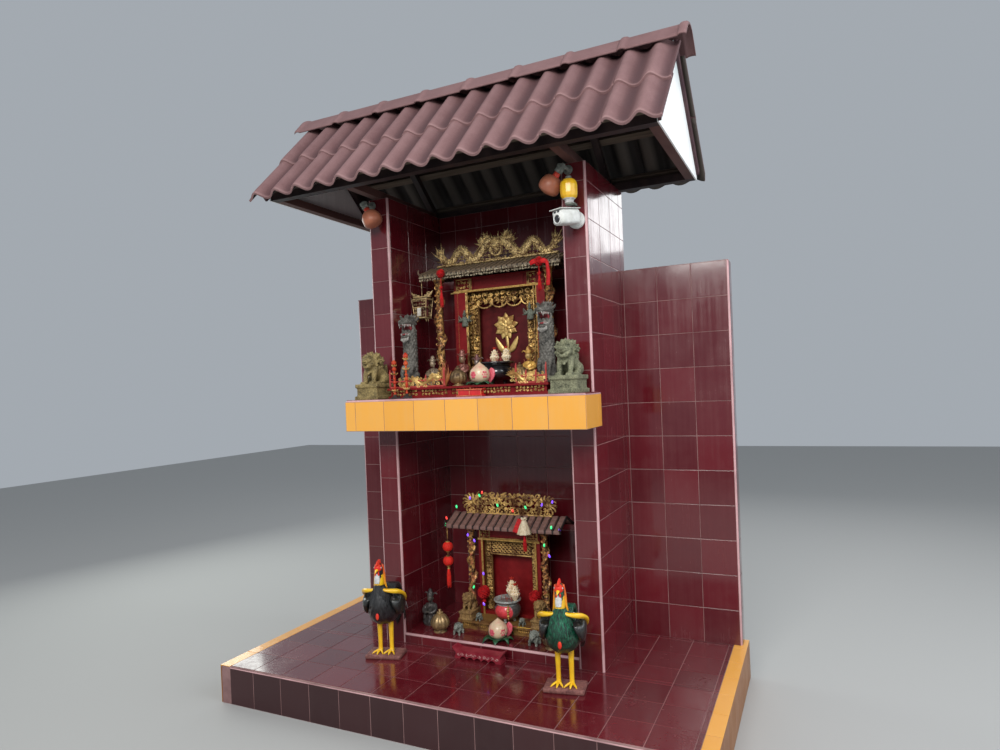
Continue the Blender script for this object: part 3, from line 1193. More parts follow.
smooth_all(lantern)
block(lantern, (-17, -40, -120), (17, -36, -62), 1)
add_piece("eared_lantern", lantern, gilding("lantern_gilt", (0.50, 0.36, 0.17),
    (0.050, 0.028, 0.016), 50.0, 0.3), ["hanging_lantern"])
label = Work(LANTERN)
block(label, (-13, -41, -116), (13, -39, -66))
add_piece("lantern_label", label, gilding("label_grey", (0.62, 0.60, 0.54), (0.32, 0.28, 0.22),
    30.0, 0.0))
lantern_panes = Work(LANTERN)
limb(lantern_panes, [(0, 0, -126, 35, 26), (0, 0, -66, 41, 31), (0, 0, -8, 48, 36)], 4, 4, X)
add_piece("lantern_panes", lantern_panes, lacquer("pane_red", (0.06, 0.004, 0.004),
    (0.12, 0.01, 0.01)))

CHAIN = PLINTH @ shift((-381, 247, 0))
globes, trims = Work(CHAIN), Work(CHAIN)
for z in (480, 390):
    ridges = lambda u, turn: 1 - 0.09 * abs(sin(6 * turn))
    limb(globes, [(0, 0, z + 30, 11), (0, 0, z + 20, 27), (0, 0, z, 34), (0, 0, z - 20, 27),
        (0, 0, z - 30, 11)], 12, 36, X, ridges)
    for s in (-1, 1):
        limb(trims, [(0, 0, z + s * 34, 12), (0, 0, z + s * 25, 14)], 3, 14, X)
for k in range(22):
    a = 2 * pi * k / 22
    r = 9 + 2 * sin(3.7 * k)
    strand = [(5 * cos(a), 5 * sin(a), 340, 2.4), (r * cos(a), r * sin(a), 300, 2.6),
        (r * 1.1 * cos(a), r * 1.1 * sin(a), 226 + 6 * sin(5.0 * k), 1.6)]
    limb(globes, strand, 7, 5, X)
ball(trims, (0, 0, 342), (10, 10, 9))
limb(trims, [(0, 0, 340, 2.5), (0, 0, 470, 2.5), (0, 0, 600, 2.5)], 5, 6, X)
for work in (globes, trims):
    smooth_all(work)
lantern_cloth = mottled("lantern_cloth", (70.0, 4.0), (0.35, 0.75), (0.80, 0.022, 0.014),
    (0.42, 0.020, 0.010), 0, 0.75, Specular_IOR_Level=0.3)
lantern_cloth.bump(lantern_cloth.noise(400.0, 2.0), 0.0005, 0.4)
add_piece("lantern_globes", globes, lantern_cloth, ["lantern_chain"])
add_piece("lantern_trims", trims, gold)

# Stone lions
# Cast stone lions sit on stepped blocks: two olive and grey-green ones on the shelf, two
# small brown-gold ones on the lower altar.


def stone(name, top, deep, speck=140.0):
    """Painted cast stone: pale worn heights, dark hollows and a fine speckle."""
    made = Finish(name, Specular_IOR_Level=0.35)
    patch = made.noise(22.0, 5.0, 0.65).over(0.3, 0.75)
    grain = made.noise(speck, 3.0, 0.7).over(0.38, 0.68)
    dirt = (patch * 0.62 + grain * 0.55).over(0.08, 0.95)
    made.mottle(dirt, top, deep, 0.15, 0.6)
    made.bump(grain, 0.0022, 0.7)
    return made


def remesh(piece, size, rounds=3):
    """Joins crossing limbs to one carved skin."""
    skin = piece.modifiers.new("skin", "REMESH")
    skin.mode = "VOXEL"
    skin.voxel_size = size
    skin.use_smooth_shade = True
    soft = piece.modifiers.new("soft", "SMOOTH")
    soft.factor = 0.5
    soft.iterations = rounds


def lion(work):
    """A seated lion facing -Y, in hundredths of its height."""
    block(work, (-30, -34, 0), (30, 34, 8), 1)
    block(work, (-26, -30, 7), (26, 30, 27), 1)
    block(work, (-29, -33, 26), (29, 33, 34), 1)
    limb(work, [(0, 30, 34, 15, 14), (0, 24, 46, 19, 17), (0, 10, 58, 18, 17), (0, -4, 68, 17, 16),
        (0, -8, 78, 13, 14)], 18, 14)
    for s in (-1, 1):
        limb(work, [(s * 15, 27, 42, 7, 9), (s * 17, 16, 46, 8, 12), (s * 18, 2, 39, 7, 6),
            (s * 16, -8, 36, 6, 4)], 14, 10)
        limb(work, [(s * 10, -8, 68, 7, 8), (s * 11, -16, 54, 6), (s * 11, -18, 42, 5),
            (s * 11, -19, 33, 6)], 14, 10)
        for k in (-1, 0, 1):
            ball(work, (s * 11 + 4 * k, -27 + abs(k), 36.5), (2.6, 5, 3))
            ball(work, (s * 16 + 4 * k, -13 + abs(k), 36.5), (2.4, 4.5, 2.8))
        limb(work, [(s * 13, -6, 92, 4, 5), (s * 16, -6, 97, 4), (s * 19, -7, 99.3, 1)], 8, 8)
        ball(work, (s * 7.5, -26, 87.5), (3.6, 3, 3.2))
        limb(work, [(s * 3, -28, 91, 2), (s * 8, -28, 93, 2.6, 2.2), (s * 13, -23, 92, 1.5)], 8, 6)
        limb(work, [(s * 10, -15, 78, 6, 5), (s * 9, -26, 75, 4, 3.5), (s * 4, -31, 74.5, 2)], 8, 8)
    limb(work, [(0, 10, 82, 11, 13), (0, 2, 84, 17, 16), (0, -10, 84, 17, 14),
        (0, -20, 84, 14, 11), (0, -30, 82, 10, 6.5), (0, -35, 80.5, 7, 4.5)], 18, 14)
    limb(work, [(0, -12, 72, 12, 5), (0, -24, 70, 10, 4), (0, -32, 70.5, 6, 2.6)], 10, 10)
    ball(work, (0, -36.5, 83), (4.5, 3, 3))
    for ring, (y, reach, z, count) in enumerate(((-13, 19, 83, 13), (-4, 21.5, 82, 14),
            (6, 20, 82, 12), (14, 13, 82, 8))):
        for k in range(count):
            a = 2 * pi * (k + 0.5 * ring) / count
            if y < -10 and -0.9 < sin(a) < -0.35 and abs(cos(a)) < 0.7:
                continue
            at = (reach * 0.95 * cos(a), y, z + reach * 0.83 * sin(a))
            curl(work, at, 4.6, a, 1 if k % 2 else -1, 2.0, 2.6, 8)
            ball(work, at, (3.3, 3.0, 3.3), 1)
    for k in range(9):
        limb(work, [((k - 4) * 3.6, -15 + abs(k - 4), 69, 2.4),
            ((k - 4) * 3.2, -18 + abs(k - 4), 60, 1.6)], 4, 6)
    limb(work, [(-14, -12, 63, 2.2), (0, -20, 59, 2.4), (14, -12, 63, 2.2)], 12, 6, Z)
    ball(work, (0, -22, 56), (3.6, 3.6, 3.6))
    for hand in (-1, 0, 1):
        limb(work, [(0, 28, 44, 5), (hand * 3, 35, 56, 5, 6), (hand * 7, 32, 68, 4.5, 5),
            (hand * 9, 31, 80 - 3 * abs(hand), 2)], 12, 8)


for name, x, tones in (("left", -607, ((0.40, 0.30, 0.12), (0.050, 0.036, 0.016))),
        ("right", 607, ((0.31, 0.31, 0.19), (0.028, 0.032, 0.020)))):
    body = Work(SHELF @ shift((x, -130, 0)) @ Matrix.Scale(2.7, 4))
    lion(body)
    piece = add_piece(name + "_shelf_lion", body, stone(name + "_lion_stone", *tones),
        ["guardian_lions"] if x < 0 else ())
    remesh(piece, 0.0034)
body = Work(PLINTH)
for x in (-240, 240):
    body.place = PLINTH @ shift((x, 234, 50)) @ Matrix.Scale(1.55, 4)
    lion(body)
remesh(add_piece("lower_lions", body, stone("brown_gold_stone", (0.42, 0.26, 0.09),
    (0.09, 0.04, 0.02))), 0.0026, 2)

# Tall dark beasts
# Rearing beasts of dark speckled stone on square bases, with pink open mouths, pale teeth
# and a combed beard; four small grey cubs lie in the lower niche.


def beast(work):
    """A tall beast facing -Y, in millimetres."""
    block(work, (-46, -46, 0), (46, 46, 20), 3)
    limb(work, [(0, 2, 18, 43, 40), (0, 6, 90, 41, 38), (0, 6, 190, 38, 37), (0, 4, 270, 37, 36),
        (0, 14, 340, 34, 32), (0, 26, 392, 24)], 26, 18)
    limb(work, [(0, 44, 388, 20, 26), (0, 14, 396, 40, 38), (0, -22, 394, 37, 27),
        (0, -56, 388, 29, 17), (0, -86, 380, 20, 11)], 18, 16)
    limb(work, [(0, 4, 326, 36, 26), (0, -36, 304, 26, 13), (0, -68, 300, 16, 8)], 12, 14)
    ball(work, (0, -88, 390), (15, 9, 10))
    for s in (-1, 1):
        ball(work, (s * 20, -44, 410), (10, 9, 9))
        limb(work, [(s * 8, -56, 416, 6), (s * 24, -48, 426, 9, 7), (s * 39, -26, 416, 3)], 10, 6)
        limb(work, [(s * 36, 16, 398, 8, 12), (s * 47, 28, 412, 6, 11), (s * 50, 42, 430, 1)], 8, 6)
        limb(work, [(s * 34, -6, 372, 8, 10), (s * 38, -8, 346, 7, 9), (s * 34, -12, 322, 7, 9)],
            8, 8)
        limb(work, [(s * 28, -20, 130, 15), (s * 31, -42, 92, 12), (s * 28, -44, 50, 9),
            (s * 28, -46, 18, 11, 9)], 14, 10)
        limb(work, [(s * 36, 20, 90, 12, 26), (s * 38, 0, 50, 12, 16), (s * 34, -30, 24, 9, 7)],
            12, 10)
        for k in (-1, 0, 1):
            ball(work, (s * 28 + 7 * k, -58 + abs(k), 25), (4.5, 9, 6))
        for k in range(3):
            limb(work, [(s * (10 + 9 * k), 8 + 9 * k, 418, 6),
                (s * (14 + 11 * k), 14 + 9 * k, 438 - 3 * k, 4),
                (s * (17 + 13 * k), 22 + 9 * k, 456 - 5 * k, 1)], 7, 6)
    for row in range(13):
        for k in range(12):
            a = 2 * pi * (k + 0.5 * (row % 2)) / 12
            z = 110 + row * 19
            ball(work, (39 * cos(a), 6 + 37 * sin(a), z), (8, 8, 12), 1)
    for k in range(-3, 4):
        ball(work, (k * 12, 34 - abs(k) * 4, 404 - abs(k) * 8), (9, 9, 9), 1)


def beast_mouth(mouth, teeth):
    """The pink of the jaws and tongue, the teeth and the beard."""
    limb(mouth, [(0, 2, 356, 30, 24), (0, -14, 352, 27, 22), (0, -18, 350, 24, 20)], 6, 12)
    limb(mouth, [(0, -16, 376, 30, 9), (0, -50, 374, 24, 7), (0, -80, 372, 14, 4)], 8, 10)
    limb(mouth, [(0, 0, 322, 24, 7), (0, -36, 320, 19, 5), (0, -62, 314, 11, 3)], 8, 10)
    for s in (-1, 1):
        for k in range(6):
            y = -26 - 11 * k
            x = s * (29 - 3.2 * k)
            spike(teeth, (x, y, 376), (x, y - 1, 362 if k != 4 else 350), 4.2)
            if k < 4:
                spike(teeth, (x * 0.8, y, 310), (x * 0.8, y - 1, 325), 3.6)
    for k in range(11):
        x = (k - 5) * 4.6
        limb(teeth, [(x, -58 + abs(x) * 0.7, 302, 2.4), (x * 1.1, -64 + abs(x) * 0.6, 286, 2.6),
            (x, -58 + abs(x) * 0.5, 264 + 3 * abs(k - 5), 1)], 7, 6)


beasts, mouths, teeth = Work(SHELF), Work(SHELF), Work(SHELF)
for x in (-440, 440):
    beasts.place = mouths.place = teeth.place = SHELF @ shift((x, 0, TABLE_TOP))
    beast(beasts)
    beast_mouth(mouths, teeth)
dark_stone = stone("speckled_stone", (0.19, 0.178, 0.155), (0.010, 0.010, 0.009), 110.0)
remesh(add_piece("tall_beasts", beasts, dark_stone, ["beast_statues"]), 0.0038)
add_smooth("beast_mouths", mouths, stone("mouth_red", (0.42, 0.07, 0.075), (0.10, 0.014, 0.018)),
    "grey_stone")
add_smooth("beast_teeth", teeth, stone("tooth_white", (0.50, 0.48, 0.44), (0.20, 0.185, 0.17)),
    "grey_stone")


def cub(work):
    """A small crouching beast facing -Y, of length 80."""
    limb(work, [(0, 37, 22, 10, 13), (0, 26, 26, 17, 19), (0, 4, 27, 17), (0, -8, 33, 14, 15)], 16,
        12)
    limb(work, [(0, 2, 46, 13, 14), (0, -14, 48, 17, 15), (0, -27, 44, 14, 11),
        (0, -38, 40, 9, 6)], 14, 12)
    limb(work, [(0, -14, 36, 10, 4), (0, -28, 33, 8, 3), (0, -35, 33, 4, 2)], 8, 8)
    for s in (-1, 1):
        for y, r in ((-18, 7), (22, 8.5)):
            limb(work, [(s * 15, y, 24, r + 1, r + 3), (s * 17, y, 8, r - 1, r),
                (s * 17, y - 3, 0.5, r)], 8, 10)
        limb(work, [(s * 10, -8, 56, 5), (s * 13, -9, 64, 3), (s * 15, -10, 69, 1)], 6, 6)
        ball(work, (s * 7, -30, 52), (3.4, 3.2, 3.2), 1)
    for k in range(14):
        a = pi * k / 13
        for y in (-6, 6):
            ball(work, (19 * cos(a), y, 44 + 19 * sin(a)), (5, 5, 5), 1)
        curl(work, (19 * cos(3.0 * k), -14 + 4 * k, 30 + 9 * sin(5.0 * k)), 7, k, 1, 2.6, 4, 8)
        spike(work, (0, -16 + 4 * k, 40), (3 * sin(2.0 * k), -12 + 4 * k, 66 - 1.4 * k), 4, 5)
    for hand in (-1, 0, 1):
        limb(work, [(0, 34, 30, 5), (hand * 6, 38, 42, 4), (hand * 9, 34, 54, 1)], 6, 6)


cubs = Work(PLINTH)
for x, y, z, long in ((-160, 214, 50, 56), (-238, 92, 0, 84), (258, 92, 0, 98), (128, 214, 50, 56)):
    cubs.place = PLINTH @ shift((x, y, z)) @ Matrix.Scale(long / 80, 4)
    cub(cubs)
remesh(add_piece("grey_cubs", cubs, stone("cub_grey", (0.34, 0.36, 0.31), (0.035, 0.04, 0.035),
    160.0)), 0.0022, 2)

# Seated figures
# Moulded resin figures in wide robes with plain faces and tall hats: two of silver and
# maroon, a gold one before a red flame, a red one and a dark one in the lower niche.


def seated_figure(robe, skin, pose):
    """A robed figure facing -Y, in hundredths of its height."""
    folds = lambda u, turn: 1 + 0.07 * sin(9 * turn + 5 * u) + 0.03 * sin(17 * turn)
    limb(robe, [(0, 0, 0, 20), (0, 0, 8, 21), (0, 1, 22, 15), (0, 1, 38, 14, 13),
        (0, 1, 50, 15, 12), (0, 0, 60, 7)], 22, 36, X, folds)
    for s in (-1, 1):
        limb(robe, [(s * 12, 2, 54, 5, 6), (s * 17, -5, 45, 6, 7), (s * 13, -13, 38, 5.5, 7),
            (s * 4, -17, 37, 4, 6)], 12, 10, Z)
        limb(robe, [(s * 12, -9, 36, 4, 3), (s * 14, -13, 22, 5, 3), (s * 12, -14, 10, 3, 2)], 8, 8)
        limb(robe, [(s * 8, -6, 9, 9, 7), (s * 12, -16, 10, 7, 6), (s * 7, -20, 5, 4)], 8, 10)
        limb(robe, [(s * 8, 2, 84, 1.5, 2), (s * 16, 3, 88, 3.5, 1.5), (s * 21, 3, 84, 2, 1)], 8,
            6, Y)
        ball(skin, (s * 9.2, 0, 73), (1.6, 2.2, 3.2), 1)
        ball(skin, (s * 2.5, -19.5, 39), (3.2, 3, 3.4), 1)
    limb(robe, [(0, 0, 80, 9.5), (0, 0, 84, 9.8), (0, 0, 90, 7), (0, 0, 97, 5), (0, 0, 100, 2.5)],
        12, 14)
    ball(skin, (0, -1.5, 73), (8.6, 8.8, 11), 3)
    ball(skin, (0, -10.3, 72), (1.6, 1.8, 2.4), 1)
    limb(robe, [(-7, -12, 56, 1.4), (0, -15, 50, 1.8), (7, -12, 56, 1.4)], 8, 6, Z)
    if pose == "staff":
        limb(robe, [(15, -18, 4, 1.3), (15, -18, 50, 1.3), (15, -18, 92, 1.6)], 8, 6, X)
        ball(robe, (15, -18, 93), (3.5, 3.5, 4.5), 1)


ON_TABLE = SHELF @ shift((0, 0, TABLE_TOP))
for name, place, x0, y0, tall, robe_tones, skin_tone, pose in (
        ("silver", ON_TABLE, -348, 104, 190, ((0.30, 0.235, 0.16), (0.065, 0.030, 0.020)),
        (0.34, 0.25, 0.16), "staff"),
        ("maroon", ON_TABLE, -120, 250, 190, ((0.26, 0.17, 0.16), (0.13, 0.012, 0.014)),
        (0.30, 0.23, 0.19), "plain"),
        ("gold", ON_TABLE, 252, 188, 215, ((0.80, 0.49, 0.12), (0.22, 0.08, 0.02)),
        (0.62, 0.40, 0.14), "plain"),
        ("red", ON_TABLE, -222, 248, 225, ((0.30, 0.13, 0.10), (0.16, 0.014, 0.014)),
        (0.30, 0.20, 0.12), "staff"),
        ("dark", PLINTH, -488, 190, 222, ((0.085, 0.075, 0.07), (0.02, 0.018, 0.018)),
        (0.10, 0.085, 0.07), "staff")):
    robe, skin = (Work(place @ shift((x0, y0, 0)) @ Matrix.Scale(tall / 100, 4)) for _ in range(2))
    seated_figure(robe, skin, pose)
    add_smooth(name + "_figure", robe, gilding(name + "_robe", *robe_tones, 90.0, 0.3), "gilt",
        ["seated_figures"] if name == "gold" else ())
    add_smooth(name + "_face", skin, gilding(name + "_skin", skin_tone,
        [0.4 * c for c in skin_tone], 60.0, 0.2), "gilt")

flames = Work(SHELF @ shift((252, 224, TABLE_TOP + 60)))
for k in range(11):
    a = pi * (k / 10) * 1.3 - 0.47
    tip = Vector((cos(a), 0, sin(a)))
    limb(flames, [(*(tip * 10), 9, 8), (*(tip * 42 + Vector((0, 0, 12))), 8, 5),
        (*(tip * 66 + Vector((0, 0, 34 + 6 * sin(k * 2.2)))), 1)], 8, 6, Y)
flames.place = SHELF @ shift((-282, 130, TABLE_TOP))
for k in range(13):
    a = 0.7 * k
    reach = 20 + 8 * (k % 3)
    limb(flames, [(0, 0, 0, 7), (reach * cos(a), 12 * sin(a), 44 + 12 * (k % 4), 7),
        (reach * 1.5 * cos(a + 0.4), 16 * sin(a), 92 + 20 * (k % 4), 2)], 10, 6, Y)
add_smooth("red_flames", flames, gilding("flame_red", (0.44, 0.17, 0.055), (0.20, 0.014, 0.010),
    50.0, 0.2), "gilt")
fittings = Work(SHELF)
for side, z in ((-1, 430), (1, 440)):
    fittings.place = SHELF @ shift((side * 222, 300, z)) @ Matrix.Scale(1.6, 4)
    limb(fittings, [(0, 0, 0, 12, 9), (2, 0, 20, 13, 10), (0, 0, 38, 8)], 8, 12, X, lambda u,
        turn: 1 + 0.12 * sin(7 * turn + 9 * u))
    ball(fittings, (0, -2, 46), (7, 7, 8))
    limb(fittings, [(0, 0, 52, 6), (0, 0, 64, 2)], 5, 8)
    for s in (-1, 1):
        limb(fittings, [(s * 8, 0, 30, 5), (s * 20, -5, 22, 5), (s * 24, -8, 38, 3)], 8, 6, Z)
        fan(fittings, (s * 10, 2, 22), 1.57 - s * 1.3, 1.4, 4, 26, 4)
add_smooth("pilaster_figures", fittings, stone("grey_green_paint", (0.22, 0.25, 0.20),
    (0.06, 0.06, 0.045)), "gilt")

# Incense pots
# Glazed bowls on three short legs, filled with grey ash with stubs of burnt incense: a
# glossy black one above, and one with a flared grey rim and a red band below.
ash = mottled("ash", (120.0, 5.0, 0.7), (0.3, 0.75), (0.30, 0.28, 0.26), (0.13, 0.12, 0.115), 0,
    0.95, Specular_IOR_Level=0.1)
ash.bump(ash.noise(200.0, 5.0, 0.7), 0.004, 0.8)
black_glaze = mottled("black_glaze", (18.0, 4.0), (0.4, 0.8), (0.008, 0.008, 0.010),
    (0.030, 0.028, 0.030), 0.2, 0.08, Coat_Weight=1.0, Coat_Roughness=0.04, Specular_IOR_Level=0.6)
band_glaze = Finish("banded_glaze", Coat_Weight=0.7, Coat_Roughness=0.1)
x, y, z = band_glaze.axes()
pot_low = HOUSE.z + PLINTH_TOP + 0.050
on_band = z.over(pot_low + 0.030, pot_low + 0.031) * (1 - z.over(pot_low + 0.108, pot_low + 0.109))
patch = band_glaze.noise(60.0, 5.0).over(0.35, 0.75)
on_front = 1 - y.over(HOUSE.y + 0.206, HOUSE.y + 0.209)
rim_grey = patch.blend((0.40, 0.42, 0.40), (0.12, 0.13, 0.12))
belly = on_front.blend(patch.blend((0.11, 0.10, 0.095), (0.022, 0.020, 0.020)),
    patch.blend((0.80, 0.070, 0.085), (0.42, 0.025, 0.030)))
band_glaze.put(Base_Color=on_band.blend(rim_grey, belly), Roughness=patch * 0.2 + 0.25)

beds, sticks, motifs = Work(SHELF), Work(SHELF), Work(PLINTH)
for name, place, at, r, h, finish in (("upper", SHELF, (65, 135, 60), 110, 132, black_glaze),
        ("lower", PLINTH, (15, 262, 50), 84, 140, band_glaze)):
    bowl = Work(place)
    beds.place = sticks.place = place
    profile = [(0, h * 0.16)] + [(r * (0.3 + 0.66 * cos(radians(a))),
        h * 0.52 + h * 0.38 * sin(radians(a))) for a in range(-70, 57, 7)]
    profile += [(r * 0.70, h * 0.86), (r * 0.80, h * 0.90), (r * 0.97, h * 0.915), (r, h * 0.95),
        (r * 0.985, h * 0.99), (r * 0.93, h), (r * 0.84, h * 0.985), (r * 0.77, h * 0.84),
        (0, h * 0.82)]
    turned(bowl, profile, at, 56)
    for angle in (30, 150, 270):
        lx, ly = (r * 0.42 * f for f in (cos(radians(angle)), sin(radians(angle))))
        foot = [(at[0] + lx * 0.8, at[1] + ly * 0.8, at[2] + h * 0.30, r * 0.17),
            (at[0] + lx * 1.1, at[1] + ly * 1.1, at[2] + h * 0.16, r * 0.14),
            (at[0] + lx, at[1] + ly, at[2] + h * 0.05, r * 0.09),
            (at[0] + lx * 1.12, at[1] + ly * 1.12, at[2] + 0.5, r * 0.12)]
        limb(bowl, foot, 12, 12)
    add_smooth(name + "_incense_pot", bowl, finish, "black_glaze",
        ["incense_pots"] if name == "upper" else ())
    turned(beds, [(0, h * 0.90), (r * 0.3, h * 0.895), (r * 0.6, h * 0.875), (r * 0.768, h * 0.85),
        (r * 0.74, h * 0.83), (0, h * 0.825)], at, 32)
    for k in range(34):
        a, reach = chance.uniform(0, 6.28), r * 0.6 * sqrt(chance.random())
        foot = Vector((at[0] + reach * cos(a), at[1] + reach * sin(a), at[2] + h * 0.86))
        lean = Vector((chance.uniform(-0.12, 0.12), chance.uniform(-0.12, 0.12),
            1)) * chance.uniform(18, 46)
        limb(sticks, [(*foot, 0.9), (*(foot + lean), 0.8)], 2, 5, X)
for z, r in ((162, 5), (150, 8), (136, 10), (120, 7), (104, 9), (88, 5)):
    ball(motifs, (50, 188 + abs(z - 125) * 0.2, z), (r, r, 9), 2)
for work in (beds, sticks, motifs):
    smooth_all(work)
add_piece("pot_ash", beds, ash)
stub = mottled("incense_stub", (150.0, 3.0), (0.35, 0.7), (0.45, 0.05, 0.05), (0.22, 0.08, 0.04),
    0, 0.8)
add_piece("incense_stubs", sticks, stub)
add_piece("pot_motifs", motifs, gold)

# Paper flowers
# Folded cream, gold and red paper cones that stand in the ash of both pots.
paper = Finish("folded_paper", Roughness=0.7, Specular_IOR_Level=0.3)
x, y, z = paper.axes()
stripe = (z.maths("SINE", z * 900.0) * 0.5 + 0.5).over(0.35, 0.65)
fleck = paper.noise(130.0, 3.0).over(0.60, 0.66)
paper.put(Base_Color=fleck.blend(stripe.blend((0.88, 0.83, 0.72), (0.72, 0.50, 0.20)),
    (0.45, 0.02, 0.02)))
flowers, knobs = Work(SHELF), Work(SHELF)
for place, x0, y0, low, h in ((SHELF, 30, 190, 171, 116), (SHELF, 130, 140, 171, 116),
        (PLINTH, 32, 296, 168, 150), (PLINTH, 66, 264, 168, 122)):
    flowers.place = knobs.place = place @ shift((x0, y0, low))
    pleats = lambda u, turn: 1 + 0.13 * sin(12 * turn)
    limb(flowers, [(0, 0, 0, h * 0.05), (0, 0, h * 0.16, h * 0.10), (0, 0, h * 0.40, h * 0.22),
        (0, 0, h * 0.48, h * 0.19),
        (0, 0, h * 0.66, h * 0.12), (0, 0, h * 0.86, h * 0.03)], 22, 48, X, pleats)
    for level, reach, count in ((0.34, 0.26, 9), (0.52, 0.24, 8), (0.66, 0.18, 7)):
        for k in range(count):
            a = 2 * pi * (k + level) / count
            out = Vector((cos(a), sin(a), 0))
            root, tip = out * (h * 0.07), out * (h * reach)
            limb(flowers, [(*(root + Vector((0, 0, h * level))), h * 0.03, 1.5),
                (*(root.lerp(tip, 0.6) + Vector((0, 0, h * (level + 0.03)))), h * 0.04, 1.5),
                (*(tip + Vector((0, 0, h * (level + 0.10)))), 0.6)], 5, 6,
                Vector((-sin(a), cos(a), 0)))
    ball(knobs, (0, 0, h * 0.88), (h * 0.07, h * 0.07, h * 0.075))
    for k in range(6):
        a = pi * k / 3
        spike(knobs, (0, 0, h * 0.84), (h * 0.13 * cos(a), h * 0.13 * sin(a), h * 0.93), h * 0.02)
add_smooth("paper_flowers", flowers, paper, "paper_gold", ["pot_flowers"])
add_smooth("flower_tips", knobs, lacquer("tip_red", (0.35, 0.012, 0.010), (0.55, 0.06, 0.03)),
    "paper_gold")

# Brass urns
# Pumpkin-shaped brass urns with ribbed bellies, turned feet and a knob on the lid.
brass = gilding("dull_brass", (0.36, 0.24, 0.11), (0.070, 0.040, 0.022), 35.0, 0.45)
urns = Work(SHELF)
for place, x0, y0, low, r in ((SHELF, -150, 60, 60, 50), (SHELF, 250, 60, 60, 50),
        (PLINTH, -365, 95, 0, 57), (PLINTH, 368, 78, 0, 50)):
    urns.place = place @ shift((x0, y0, low)) @ Matrix.Scale(r, 4)
    turned(urns, [(0, 0), (0.70, 0), (0.72, 0.04), (0.70, 0.10), (0.52, 0.15), (0.45, 0.26),
        (0.5, 0.34), (0, 0.34)], around=32)
    ribs = lambda u, turn: (0.90 + 0.10 * abs(cos(6 * turn))) if 0.05 < u < 0.95 else 0.9
    limb(urns, [(0, 0, 0.28, 0.5), (0, 0, 0.42, 0.78), (0, 0, 0.75, 0.98), (0, 0, 1.1, 1.0),
        (0, 0, 1.45, 0.86), (0, 0, 1.75, 0.60), (0, 0, 1.93, 0.3)], 26, 72, X, ribs)
    turned(urns, [(0, 1.88), (0.30, 1.9), (0.34, 1.98), (0.36, 2.06), (0.30, 2.10), (0.14, 2.14),
        (0.09, 2.2), (0.16, 2.26), (0.17, 2.32), (0.10, 2.37), (0, 2.38)], around=24)
add_smooth("ribbed_urns", urns, brass, "old_brass", ["brass_urns"])

# Peaches
# Moulded cream peaches with a pink blush toward the drawn-out tip, on glossy green leaves.
peaches, leaves, pinks = Work(SHELF), Work(SHELF), Work(SHELF)
for place, x0, y0, low, r in ((SHELF, 60, -66, 60, 56), (PLINTH, 30, 90, 0, 56)):
    at = place @ shift((x0, y0, low)) @ Matrix.Scale(r, 4)
    peaches.place = leaves.place = at
    cleft = lambda u, turn: 1 - 0.09 * exp(-((turn - 4.4) * 3.2) ** 2)
    limb(peaches, [(0, 0, 0.20, 0.25), (0, 0, 0.32, 0.66), (0, 0, 0.65, 0.94), (0, 0, 1.08, 1.0),
        (0, 0, 1.5, 0.88), (0, 0, 1.82, 0.60),
        (0, 0, 2.06, 0.30), (0, 0, 2.2, 0.12), (0.05, 0, 2.29, 0.03)], 30, 40, X, cleft)
    for k in range(8):
        a = 2 * pi * (k + 0.3) / 8
        out, across = Vector((cos(a), sin(a), 0)), Vector((-sin(a), cos(a), 0))
        lift = 0.26 + 0.20 * (k % 2)
        reach = (1.2 if k % 2 else 1.0) * (1.0 if low else 1.2)
        limb(leaves, [(*(out * 0.25), 0.12, 0.05),
            (*(out * 0.65 + Vector((0, 0, 0.16))), 0.34, 0.06),
            (*(out * 1.05 * reach + Vector((0, 0, lift * (0.7 if low else 1.3)))), 0.30, 0.05),
            (*(out * 1.36 * reach + Vector((0, 0, 0.04))), 0.02)], 10, 8, across)
    turned(leaves, [(0, 0.0), (0.58, 0.0), (0.62, 0.1), (0.5, 0.28), (0, 0.3)], around=24)
    for aim in (-1.85, -0.55):
        for k in range(7):
            b = k * pi / 3
            spread = 0.24 if k < 6 else 0.0
            a, level = aim + spread * cos(b), 1.02 + spread * sin(b)
            pinks.place = at @ shift((0.965 * cos(a), 0.965 * sin(a), level)) @ spin("Z", a)
            ball(pinks, (0, 0, 0), (0.045, 0.12, 0.14), 2)
    pinks.place = at
    limb(pinks, [(0.55, 0.65, 0.2, 0.3, 0.08), (0.85, 0.75, 0.8, 0.42, 0.10),
        (0.95, 0.8, 1.4, 0.34, 0.08), (0.9, 0.8, 1.7, 0.06, 0.04)], 12, 10)
for v in leaves.mesh.verts:
    floor = HOUSE.z + (SHELF_TOP + TABLE_TOP / 1000 if v.co.z > HOUSE.z + 1 else PLINTH_TOP)
    v.co.z = max(v.co.z, floor + 0.0002)
for work in (peaches, leaves, pinks):
    smooth_all(work)
skin = mottled("peach_skin", (14.0, 3.0), (0.52, 0.80), (0.66, 0.50, 0.33), (0.66, 0.24, 0.20),
    0.1, 0.35, Coat_Weight=0.3, Coat_Roughness=0.2, Subsurface_Weight=0.05)
add_piece("peaches", peaches, skin, ["peach_offerings"])
leaf_green = mottled("leaf_green", (50.0, 4.0), (0.35, 0.75), (0.004, 0.050, 0.020),
    (0.014, 0.115, 0.040), 0.2, 0.35, Coat_Weight=0.4, Coat_Roughness=0.25)
add_piece("peach_leaves", leaves, leaf_green)
pink = mottled("pink_petal", (80.0, 2.0), (0.3, 0.7), (0.70, 0.13, 0.17), (0.55, 0.06, 0.09), 0,
    0.45)
add_piece("pink_petals", pinks, pink)

